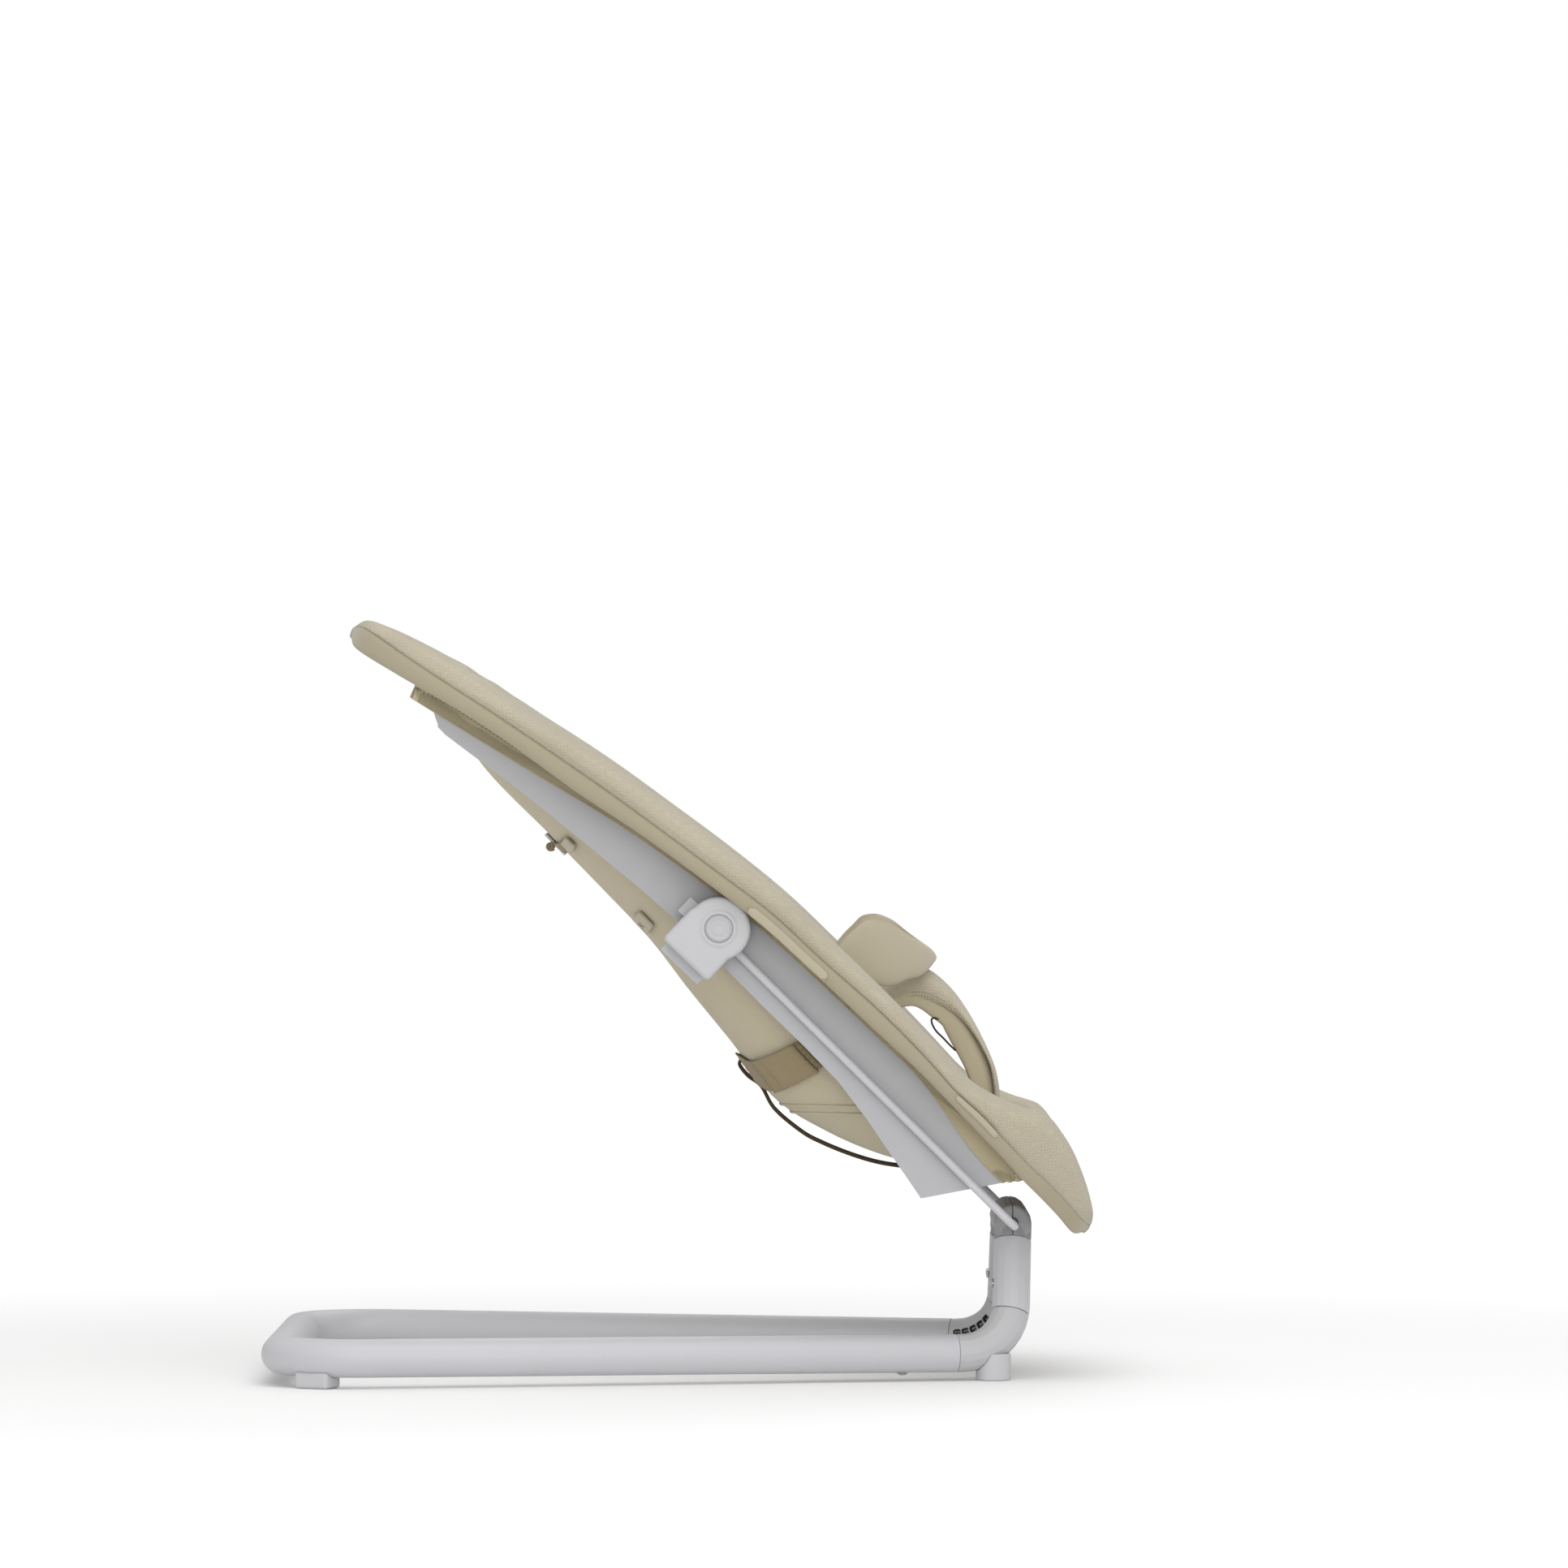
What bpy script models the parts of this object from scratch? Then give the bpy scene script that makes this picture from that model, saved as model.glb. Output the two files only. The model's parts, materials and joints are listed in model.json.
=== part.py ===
"""Bouncer seat: a tube base, a spring wire through a bridge, two hubs and a hammock seat.

Metres, +Z up. +X points to the foot end, +Y is the seat's left. The origin is under the middle of the seat,
on the floor. The seat nods about the bridge's axis and reclines about the hubs' axis.
"""
import math

import bmesh
import bpy
from mathutils import Euler, Matrix, Vector

# ---------------------------------------------------------------- driving dimensions
GAP = 0.0003                     # left between pieces that touch
LEFT, RIGHT = 1, -1
SIDES = (("left", LEFT), ("right", RIGHT))

TUBE_R = 0.017                   # base tube, elbows, posts and bridge share one radius
TUBE_WALL = 0.0015
TUBE_SIDES = 16
REAR_CORNER = Vector((-0.354, 0.2381, 0.027))    # where a rail would meet the rear crossbar
REAR_CORNER_R = 0.065
RAIL_END = Vector((0.247, 0.1163, 0.0245))       # seam between rail and elbow
BEND_CORNER = Vector((0.295, 0.1065, 0.0245))    # where rail and post centre lines meet
BEND_R = 0.0488
POST_TOP = Vector((0.298, 0.0714, 0.123))        # seam between post and bridge
ELBOW_SEAM_ANGLE = math.radians(76)
POCKET_TILT = math.radians(33)                   # the pockets face inboard and up into the bend
SPIGOT_R = TUBE_R - TUBE_WALL - GAP
RAIL_SPIGOT = 0.058
POST_SPIGOT = 0.034

BRIDGE = Vector((0.298, 0.0, 0.139))             # bounce axis, along Y
BRIDGE_HALF = 0.083
BRIDGE_MOUTH_R = 0.0048
BUSH_R = 0.008
BUSH_SPAN = (0.062, 0.078)

WIRE_R = 0.0038
WIRE_Y = 0.150

HUB = Vector((0.0353, 0.0, 0.4044))              # recline axis, along Y
HUB_TILT = math.radians(43.8)                    # the hub's long side follows the wire
HUB_HEAD_R = 0.0285
HUB_INNER = (0.1455, 0.1547)                     # inner shell, measured outwards along Y
HUB_OUTER = (0.1550, 0.1800)
HUB_CAVITY_R = 0.0262
CAP_R = 0.0124
INDEX_R = 0.0135
BOSS_R = 0.009
LATCH_Y = (0.1555, 0.1595)

PANEL_Y = (0.1375, 0.1425)
MESH_Y = (0.1428, 0.1441)
HOOP_R = 0.005
HOOP_Y = 0.1318
CROSSING = 0.124                 # half-width of the well's mouth between the side panels
WELL_THICKNESS = 0.022
SLING_THICKNESS = 0.0016
SLIDER_STATION = 5.10            # where the trim sits on the back of the sling, in rows of STATIONS
TAB_STATION = 6.78
TAB_Y = -0.070

# Seat stations, head to foot: rim top (x, z), foot of the side band (x, z), depth of the underside
# on the centre line, and half-width. All in metres.
STATIONS = (
    (-0.2910, 0.6745, -0.2940, 0.6650, 0.006, 0.070),
    (-0.2740, 0.6775, -0.2850, 0.6530, 0.018, 0.135),
    (-0.2350, 0.6620, -0.2500, 0.6305, 0.022, 0.168),
    (-0.1900, 0.6366, -0.2110, 0.6080, 0.026, 0.182),
    (-0.1420, 0.6043, -0.1630, 0.5785, 0.061, 0.187),
    (-0.0670, 0.5577, -0.0880, 0.5270, 0.082, 0.190),
    (-0.0120, 0.5188, -0.0340, 0.4910, 0.093, 0.190),
    (0.0436, 0.4777, 0.0235, 0.4515, 0.105, 0.190),
    (0.0950, 0.4350, 0.0740, 0.4122, 0.119, 0.190),
    (0.1413, 0.3890, 0.1210, 0.3690, 0.127, 0.190),
    (0.1860, 0.3450, 0.1660, 0.3260, 0.136, 0.189),
    (0.2270, 0.3020, 0.2090, 0.2865, 0.123, 0.187),
    (0.2580, 0.2693, 0.2400, 0.2530, 0.102, 0.184),
    (0.2840, 0.2534, 0.2620, 0.2280, 0.080, 0.180),
    (0.3065, 0.2440, 0.2860, 0.2030, 0.034, 0.175),
    (0.3280, 0.2377, 0.3055, 0.1816, 0.022, 0.169),
    (0.3470, 0.2144, 0.3220, 0.1650, 0.022, 0.160),
    (0.3610, 0.1840, 0.3370, 0.1490, 0.022, 0.145),
    (0.3700, 0.1540, 0.3510, 0.1330, 0.018, 0.120),
    (0.3710, 0.1400, 0.3620, 0.1310, 0.008, 0.070),
)

# Side panel's lower edge and straight foot end, head to foot (x, z).
PANEL_LOWER = (
    (-0.2180, 0.5942), (-0.2150, 0.5860), (-0.2080, 0.5760), (-0.1500, 0.5326), (-0.0810, 0.4774),
    (-0.0016, 0.4102), (0.0728, 0.3361), (0.1414, 0.2675), (0.1869, 0.2046), (0.2148, 0.1638),
)
PANEL_FOOT = ((0.2860, 0.1775), (0.2960, 0.2150))
# Where the mesh band stops on the side panel (x, z).
MESH_LOWER = (
    (-0.2180, 0.5960), (-0.1424, 0.5498), (-0.0507, 0.4942), (0.0295, 0.4372), (0.0843, 0.3931),
    (0.1700, 0.3130), (0.2158, 0.2675), (0.2613, 0.2046), (0.2860, 0.1785),
)

COLOURS = {                      # colour, roughness, metallic
    "painted_tube": ((0.60, 0.60, 0.63), 0.45, 0.2),
    "grey_plastic": ((0.55, 0.55, 0.57), 0.50, 0.0),
    "dark_plastic": ((0.10, 0.10, 0.11), 0.60, 0.0),
    "spring_steel": ((0.50, 0.50, 0.52), 0.40, 0.8),
    "steel": ((0.55, 0.55, 0.57), 0.30, 1.0),
    "panel_paint": ((0.45, 0.45, 0.47), 0.45, 0.2),
    "foot_rubber": ((0.60, 0.60, 0.62), 0.80, 0.0),
    "sand_fabric": ((0.55, 0.50, 0.38), 0.90, 0.0),
    "mesh_fabric": ((0.30, 0.26, 0.16), 0.95, 0.0),
    "webbing": ((0.25, 0.20, 0.11), 0.90, 0.0),
}


# ---------------------------------------------------------------- scene and helpers
def clear_scene():
    for item in list(bpy.data.objects):
        bpy.data.objects.remove(item, do_unlink=True)


def make_collection(name):
    collection = bpy.data.collections.new(name)
    bpy.context.scene.collection.children.link(collection)
    return collection


clear_scene()
PARTS = make_collection("bouncer_seat")
CUTTERS = make_collection("cutters")
MATERIALS = {}


def material(name):
    if name not in MATERIALS:
        colour, roughness, metallic = COLOURS[name]
        made = bpy.data.materials.new(name)
        made.use_nodes = True
        shader = made.node_tree.nodes["Principled BSDF"]
        shader.inputs["Base Color"].default_value = (*colour, 1.0)
        shader.inputs["Roughness"].default_value = roughness
        shader.inputs["Metallic"].default_value = metallic
        MATERIALS[name] = made
    return MATERIALS[name]


def empty(name, location, rotation=(0, 0, 0), parent=None):
    made = bpy.data.objects.new(name, None)
    PARTS.objects.link(made)
    made.location = location
    made.rotation_euler = rotation
    bpy.context.view_layer.update()
    if parent:
        keep_place(made, parent)
    return made


def keep_place(item, parent):
    """Parent an object without moving it."""
    item.parent = parent
    item.matrix_parent_inverse = parent.matrix_world.inverted()
    bpy.context.view_layer.update()


def finish_part(item, material_name, parent=None):
    """Put an object among the parts, give it its material and hang it on its joint's empty."""
    item.data.materials.clear()
    item.data.materials.append(material(material_name))
    item.data.shade_smooth()
    item.data.set_sharp_from_angle(angle=math.radians(35))
    PARTS.objects.link(item)
    bpy.context.view_layer.update()
    if parent:
        keep_place(item, parent)
    return item


def finish_cutter(item):
    item.hide_render = True
    item.display_type = "WIRE"
    CUTTERS.objects.link(item)
    return item


def mesh_object(name, bm):
    bmesh.ops.recalc_face_normals(bm, faces=bm.faces[:])
    mesh = bpy.data.meshes.new(name)
    bm.to_mesh(mesh)
    bm.free()
    return bpy.data.objects.new(name, mesh)


def along(direction):
    """Rotation that turns +Z to a direction."""
    return Vector(direction).to_track_quat("Z", "Y").to_euler()


def cylinder(name, start, end, radius, sides=20):
    start, end = Vector(start), Vector(end)
    bm = bmesh.new()
    bmesh.ops.create_cone(bm, cap_ends=True, segments=sides, radius1=radius, radius2=radius,
                          depth=(end - start).length)
    made = mesh_object(name, bm)
    made.location = (start + end) / 2
    made.rotation_euler = along(end - start)
    return made


def turned(name, profile, start, direction, sides=24):
    """Turn a (radius, height) profile, listed from top to bottom, about an axis through start."""
    bm = bmesh.new()
    points = [bm.verts.new((radius, 0, height)) for radius, height in profile]
    for first, second in zip(points, points[1:]):
        bm.edges.new((first, second))
    mesh = bpy.data.meshes.new(name)
    bm.to_mesh(mesh)
    bm.free()
    made = bpy.data.objects.new(name, mesh)
    screw = made.modifiers.new("turn", "SCREW")
    screw.steps = sides
    screw.render_steps = sides
    screw.use_merge_vertices = True
    screw.merge_threshold = 0.00001
    made.location = start
    made.rotation_euler = along(direction)
    return made


def box(name, centre, size, rotation=(0, 0, 0), bevel=0.0):
    bm = bmesh.new()
    bmesh.ops.create_cube(bm, size=1.0)
    bmesh.ops.scale(bm, vec=size, verts=bm.verts[:])
    made = mesh_object(name, bm)
    made.location = centre
    made.rotation_euler = rotation
    if bevel:
        add_bevel(made, bevel)
    return made


def add_bevel(item, width, segments=2):
    bevel = item.modifiers.new("round", "BEVEL")
    bevel.width = width
    bevel.segments = segments
    bevel.limit_method = "ANGLE"
    bevel.angle_limit = math.radians(50)
    return item


def round_one_face(plate_object, facing, width):
    """Round the edges of a plate on its upper (1) or lower (-1) face only."""
    bm = bmesh.new()
    bm.from_mesh(plate_object.data)
    bmesh.ops.dissolve_limit(bm, angle_limit=math.radians(0.5), verts=bm.verts[:], edges=bm.edges[:])
    face = max(bm.faces, key=lambda candidate: candidate.normal.z * facing * candidate.calc_area())
    bmesh.ops.bevel(bm, geom=list(face.edges), offset=width, segments=3, profile=0.5, affect="EDGES")
    bm.to_mesh(plate_object.data)
    bm.free()
    return plate_object


def add_boolean(item, other, operation):
    step = item.modifiers.new(operation.lower(), "BOOLEAN")
    step.operation = operation
    step.solver = "EXACT"
    step.object = other
    return item


def cut(item, *cutters):
    for cutter in cutters:
        add_boolean(item, finish_cutter(cutter) if not cutter.users_collection else cutter, "DIFFERENCE")
    return item


def join(item, *others):
    for other in others:
        add_boolean(item, finish_cutter(other) if not other.users_collection else other, "UNION")
    return item


def curve_to_mesh(name, curve, matrix=None):
    """Turn a curve into a mesh with its caps welded, and drop the curve."""
    holder = bpy.data.objects.new(name + "_curve", curve)
    if matrix:
        holder.matrix_world = matrix
    PARTS.objects.link(holder)
    bpy.context.view_layer.update()
    evaluated = holder.evaluated_get(bpy.context.evaluated_depsgraph_get())
    mesh = bpy.data.meshes.new_from_object(evaluated)
    place = holder.matrix_world.copy()
    bpy.data.objects.remove(holder, do_unlink=True)
    bm = bmesh.new()
    bm.from_mesh(mesh)
    bmesh.ops.remove_doubles(bm, verts=bm.verts[:], dist=0.000005)
    bmesh.ops.recalc_face_normals(bm, faces=bm.faces[:])
    bm.to_mesh(mesh)
    bm.free()
    mesh.name = name
    made = bpy.data.objects.new(name, mesh)
    made.matrix_world = place
    return made


def rod(name, points, radius, sides=8):
    """A round bar along a list of points. The number of sides is even."""
    curve = bpy.data.curves.new(name, "CURVE")
    curve.dimensions = "3D"
    curve.bevel_depth = radius
    curve.bevel_resolution = (sides - 4) // 2
    curve.use_fill_caps = True
    spline = curve.splines.new("POLY")
    spline.points.add(len(points) - 1)
    for point, place in zip(spline.points, points):
        point.co = (*place, 1.0)
    return curve_to_mesh(name, curve)


def plate(name, outline, thickness, location=(0, 0, 0), rotation=(math.pi / 2, 0, 0)):
    """A flat plate from a closed outline in its own XY plane."""
    curve = bpy.data.curves.new(name, "CURVE")
    curve.dimensions = "2D"
    curve.fill_mode = "BOTH"
    curve.extrude = thickness / 2
    spline = curve.splines.new("POLY")
    spline.points.add(len(outline) - 1)
    for point, place in zip(spline.points, outline):
        point.co = (place[0], place[1], 0.0, 1.0)
    spline.use_cyclic_u = True
    matrix = Matrix.LocRotScale(Vector(location), Euler(rotation), None)
    return curve_to_mesh(name, curve, matrix)


# ---------------------------------------------------------------- geometry helpers
def smooth_point(points, where):
    """Value of a Catmull-Rom curve through rows of numbers, at a fractional row index."""
    last = len(points) - 1
    where = min(max(where, 0.0), last - 1e-9)
    index = int(where)
    t = where - index
    rows = [points[min(max(index + step, 0), last)] for step in (-1, 0, 1, 2)]
    value = []
    for a, b, c, d in zip(*rows):
        value.append(0.5 * (2 * b + (c - a) * t + (2 * a - 5 * b + 4 * c - d) * t * t
                            + (3 * b - a - 3 * c + d) * t ** 3))
    return value


def smooth_curve(points, steps):
    """A smooth curve through points, with a number of steps between each two."""
    count = (len(points) - 1) * steps
    return [smooth_point(points, index / steps) for index in range(count)] + [list(points[-1])]


def fillet(before, corner, after, radius, steps):
    """Points of the arc that rounds a corner, from the side of before to the side of after."""
    first = (before - corner).normalized()
    second = (after - corner).normalized()
    half = first.angle(second) / 2
    centre = corner + (first + second).normalized() * (radius / math.sin(half))
    start = corner + first * (radius / math.tan(half)) - centre
    axis = first.cross(second).normalized()
    turn = math.pi - 2 * half
    return [centre + Matrix.Rotation(-turn * index / steps, 3, axis) @ start for index in range(steps + 1)]


def rounded_path(points, radii, steps):
    """A path through points, with a fillet at each inner one."""
    points = [Vector(point) for point in points]
    path = [points[0]]
    for index, radius in enumerate(radii, start=1):
        path += fillet(points[index - 1], points[index], points[index + 1], radius, steps)
    return path + [points[-1]]


def mirrored(point, side):
    return Vector((point[0], side * point[1], point[2]))


def loft(name, rings):
    """A closed body through rings that have the same number of points."""
    bm = bmesh.new()
    rows = [[bm.verts.new(point) for point in ring] for ring in rings]
    count = len(rows[0])
    for row, following in zip(rows, rows[1:]):
        for index in range(count):
            after = (index + 1) % count
            bm.faces.new((row[index], row[after], following[after], following[index]))
    bm.faces.new(reversed(rows[0]))
    bm.faces.new(rows[-1])
    bmesh.ops.triangulate(bm, faces=[face for face in bm.faces if len(face.verts) > 4])
    return mesh_object(name, bm)


def sheet(name, rows, thickness):
    """An open surface through rows of points, made solid on both sides."""
    bm = bmesh.new()
    grid = [[bm.verts.new(point) for point in row] for row in rows]
    for row, following in zip(grid, grid[1:]):
        for index in range(len(row) - 1):
            bm.faces.new((row[index], row[index + 1], following[index + 1], following[index]))
    made = mesh_object(name, bm)
    solid = made.modifiers.new("thickness", "SOLIDIFY")
    solid.thickness = thickness
    solid.offset = 0.0
    return made


def pad_ring(centre, across, up, half_width, half_thickness, sides=12):
    """A soft-cornered oblong section."""
    ring = []
    for index in range(sides):
        angle = 2 * math.pi * (index + 0.5) / sides
        x = math.copysign(abs(math.cos(angle)) ** 0.6, math.cos(angle))
        y = math.copysign(abs(math.sin(angle)) ** 0.8, math.sin(angle))
        ring.append(centre + across * (half_width * x) + up * (half_thickness * y))
    return ring


# ---------------------------------------------------------------- the seat's own coordinates
def station(where):
    """Rim top, unit vector down through the seat, band height, underside depth and half-width."""
    rim_x, rim_z, low_x, low_z, depth, half_width = smooth_point(STATIONS, where)
    rim = Vector((rim_x, 0, rim_z))
    down = Vector((low_x, 0, low_z)) - rim
    return rim, down.normalized(), down.length, depth, half_width


def skin_depth(band):
    """Depth of the cover's underside where it lies over the frame."""
    return min(0.65 * band, 0.022)


def underside(where, offset=0.0):
    """The cover's underside at a station, as (y, depth) pairs from the well's mouth to the middle."""
    _, _, band, depth, half_width = station(where)
    flat = skin_depth(band)
    mouth = min(CROSSING, 0.66 * half_width) + 0.6 * offset
    depth = max(depth, flat)
    drop = depth - flat
    return [(mouth, flat), (0.90 * mouth, flat + 0.55 * drop + offset), (0.60 * mouth, flat + 0.90 * drop + offset),
            (0.30 * mouth, flat + 0.98 * drop + offset), (0.0, depth + offset)]


def seat_point(where, y, depth):
    rim, down, _, _, _ = station(where)
    place = rim + down * depth
    return Vector((place.x, y, place.z))


def sling_point(where, y, offset):
    """A point under the well, a little below the cover's underside."""
    line = underside(where, offset)
    for (outer, outer_depth), (inner, inner_depth) in zip(line, line[1:]):
        if abs(y) >= inner:
            share = (abs(y) - inner) / (outer - inner)
            return seat_point(where, y, inner_depth + (outer_depth - inner_depth) * min(share, 1.0))
    return seat_point(where, y, line[-1][1])


# ---------------------------------------------------------------- base
def post_direction(side):
    return (mirrored(POST_TOP, side) - mirrored(BEND_CORNER, side)).normalized()


def bend(side, first, last, steps):
    """Points of the elbow's centre line between two angles of the bend."""
    corner = mirrored(BEND_CORNER, side)
    rail = (mirrored(RAIL_END, side) - corner).normalized()
    post = post_direction(side)
    half = rail.angle(post) / 2
    centre = corner + (rail + post).normalized() * (BEND_R / math.sin(half))
    start = corner + rail * (BEND_R / math.tan(half)) - centre
    axis = rail.cross(post).normalized()
    angles = [first + (last - first) * index / steps for index in range(steps + 1)]
    points = [centre + Matrix.Rotation(-angle, 3, axis) @ start for angle in angles]
    return points, centre, axis


def bend_end(side):
    corner = mirrored(BEND_CORNER, side)
    rail = (mirrored(RAIL_END, side) - corner).normalized()
    return math.pi - rail.angle(post_direction(side))


def bend_tangent(side, angle):
    """Direction of the elbow's centre line at an angle, from the rail towards the post."""
    before, _, _ = bend(side, angle - 0.001, angle + 0.001, 1)
    return (before[1] - before[0]).normalized()


def rail_direction(side):
    return (mirrored(RAIL_END, side) - mirrored(REAR_CORNER, side)).normalized()


def rail_rivet_place(side):
    return mirrored(RAIL_END, side) - rail_direction(side) * 0.0495


def post_rivet_place(side):
    top = mirrored(POST_TOP, side)
    return top - post_direction(side) * ((top.z - 0.085) / post_direction(side).z)


def rivet(name, place, outward, material_name, reach=0.0120):
    """A domed rivet whose shank goes through the tube's wall into the spigot."""
    profile = [(0.0, 0.0020), (0.0022, 0.0018), (0.0038, 0.0012), (0.0048, 0.0), (0.0020, 0.0),
               (0.0020, -reach), (0.0, -reach)]
    made = turned(name, profile, place + outward * (TUBE_R + GAP), outward, sides=16)
    return finish_part(made, material_name)


def rivet_hole(place, outward):
    return cylinder("rivet_hole", place + outward * 0.0045, place + outward * 0.0250, 0.0020 + GAP, sides=16)


def base_path():
    left_end = mirrored(RAIL_END, LEFT) - rail_direction(LEFT) * (GAP / 2)
    right_end = mirrored(RAIL_END, RIGHT) - rail_direction(RIGHT) * (GAP / 2)
    corners = (mirrored(REAR_CORNER, LEFT), mirrored(REAR_CORNER, RIGHT))
    return rounded_path((left_end, *corners, right_end), (REAR_CORNER_R, REAR_CORNER_R), 8)


def rear_foot_place(side):
    """Middle of the rail's rear bend, moved a little towards the rail."""
    corner_arc = base_path()[1:10]
    place = corner_arc[3]
    heading = (corner_arc[4] - corner_arc[2]).normalized()
    return mirrored(place, side), Vector((heading.x, side * heading.y, 0)).normalized()


def extended(path, length):
    """The same path with both ends drawn out, for cutters."""
    first = path[0] + (path[0] - path[1]).normalized() * length
    last = path[-1] + (path[-1] - path[-2]).normalized() * length
    return [first, *path[1:-1], last]


def make_base_tube():
    path = base_path()
    tube = rod("base_tube", path, TUBE_R, TUBE_SIDES)
    cut(tube, rod("base_bore", extended(path, 0.01), TUBE_R - TUBE_WALL, TUBE_SIDES))
    for _, side in SIDES:
        cut(tube, rivet_hole(rail_rivet_place(side), Vector((0, 0, -1))))
        place, _ = rear_foot_place(side)
        cut(tube, cylinder("foot_hole", place - Vector((0, 0, 0.010)), place - Vector((0, 0, 0.022)), 0.0043, 16))
    return finish_part(tube, "painted_tube")


def make_elbow(label, side):
    seam = mirrored(RAIL_END, side) + rail_direction(side) * (GAP / 2)
    arc, centre, axis = bend(side, 0.0, ELBOW_SEAM_ANGLE, 8)
    square_end = arc[-1] - bend_tangent(side, ELBOW_SEAM_ANGLE) * 0.0008
    elbow = rod("elbow_" + label, [seam, *arc[:-1], square_end, arc[-1]], TUBE_R, TUBE_SIDES)
    rail_side = mirrored(RAIL_END, side) - rail_direction(side) * RAIL_SPIGOT
    rest, _, _ = bend(side, 0.0, bend_end(side), 9)
    spigot_path = [rail_side, *rest, rest[-1] + post_direction(side) * POST_SPIGOT]
    join(elbow, rod("elbow_spigot", spigot_path, SPIGOT_R - GAP, TUBE_SIDES))
    inboard = axis if axis.y * side < 0 else -axis
    for index in range(5):
        angle = math.radians(4.5 + 11.6 * index)
        point = bend(side, angle, angle, 1)[0][0]
        outward = (point - centre).normalized()
        travel = inboard.cross(outward).normalized()
        facing = Matrix.Rotation(-POCKET_TILT, 3, travel) @ inboard
        aside = Matrix.Rotation(-POCKET_TILT, 3, travel) @ outward
        frame = Matrix((travel, aside, facing)).transposed().to_euler()
        cut(elbow, box("elbow_pocket", point + facing * 0.0150, (0.0068, 0.0076, 0.0120), frame))
    cut(elbow, rivet_hole(rail_rivet_place(side), Vector((0, 0, -1))))
    cut(elbow, rivet_hole(post_rivet_place(side), Vector((-1, 0, 0))))
    peg = front_foot_place(side)
    cut(elbow, cylinder("peg_hole", peg, peg + Vector((0, 0, 0.0303)), 0.0043, 16))
    return finish_part(elbow, "grey_plastic")


def front_foot_place(side):
    return mirrored((0.2800, 0.1095, 0.0), side)


def make_post(label, side):
    start, _, _ = bend(side, ELBOW_SEAM_ANGLE, bend_end(side), 2)
    tangent = bend_tangent(side, ELBOW_SEAM_ANGLE)
    path = [start[0] + tangent * GAP, start[0] + tangent * 0.0011, *start[1:],
            mirrored(POST_TOP, side) - post_direction(side) * (GAP / 2)]
    post = rod("post_" + label, path, TUBE_R, TUBE_SIDES)
    cut(post, rod("post_bore", extended(path, 0.01), TUBE_R - TUBE_WALL, TUBE_SIDES))
    cut(post, rivet_hole(post_rivet_place(side), Vector((-1, 0, 0))))
    return finish_part(post, "painted_tube")


def make_feet(label, side):
    place, heading = rear_foot_place(side)
    turn = math.atan2(heading.y, heading.x)
    rear = box("foot_rear_" + label, Vector((place.x, place.y, 0.0075)), (0.033, 0.026, 0.015),
               (0, 0, turn), bevel=0.003)
    cut(rear, rod("foot_seat", extended(base_path(), 0.0), TUBE_R + GAP, TUBE_SIDES))
    peg_top = place - Vector((0, 0, 0.0120))
    join(rear, cylinder("foot_peg", Vector((place.x, place.y, 0.004)), peg_top, 0.004, 16))
    finish_part(rear, "foot_rubber")
    base = front_foot_place(side)
    profile = [(0.0, 0.0240), (0.0157, 0.0240), (0.0157, 0.0012), (0.0145, 0.0), (0.0, 0.0)]
    front = turned("foot_front_" + label, profile, base, (0, 0, 1), sides=24)
    seam = mirrored(RAIL_END, side) + rail_direction(side) * (GAP / 2)
    arc, _, _ = bend(side, 0.0, ELBOW_SEAM_ANGLE, 8)
    seat_path = [seam - rail_direction(side) * 0.02, seam, *arc]
    cut(front, rod("foot_front_seat", seat_path, TUBE_R + GAP, TUBE_SIDES))
    join(front, cylinder("foot_front_peg", base + Vector((0, 0, 0.004)), base + Vector((0, 0, 0.0300)), 0.004, 16))
    finish_part(front, "foot_rubber")


def bridge_body(name):
    body = cylinder(name, (BRIDGE.x, -BRIDGE_HALF, BRIDGE.z), (BRIDGE.x, BRIDGE_HALF, BRIDGE.z), TUBE_R, TUBE_SIDES)
    add_bevel(body, 0.0035)
    for _, side in SIDES:
        top = mirrored(POST_TOP, side)
        lean = post_direction(side)
        seam = top + lean * (GAP / 2)
        join(body, cylinder("bridge_stub", seam, seam + lean * 0.0165, TUBE_R - 0.00005, TUBE_SIDES))
        join(body, cylinder("bridge_spigot", top - lean * 0.022, top + lean * 0.010, SPIGOT_R - GAP, TUBE_SIDES))
    return body


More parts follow.
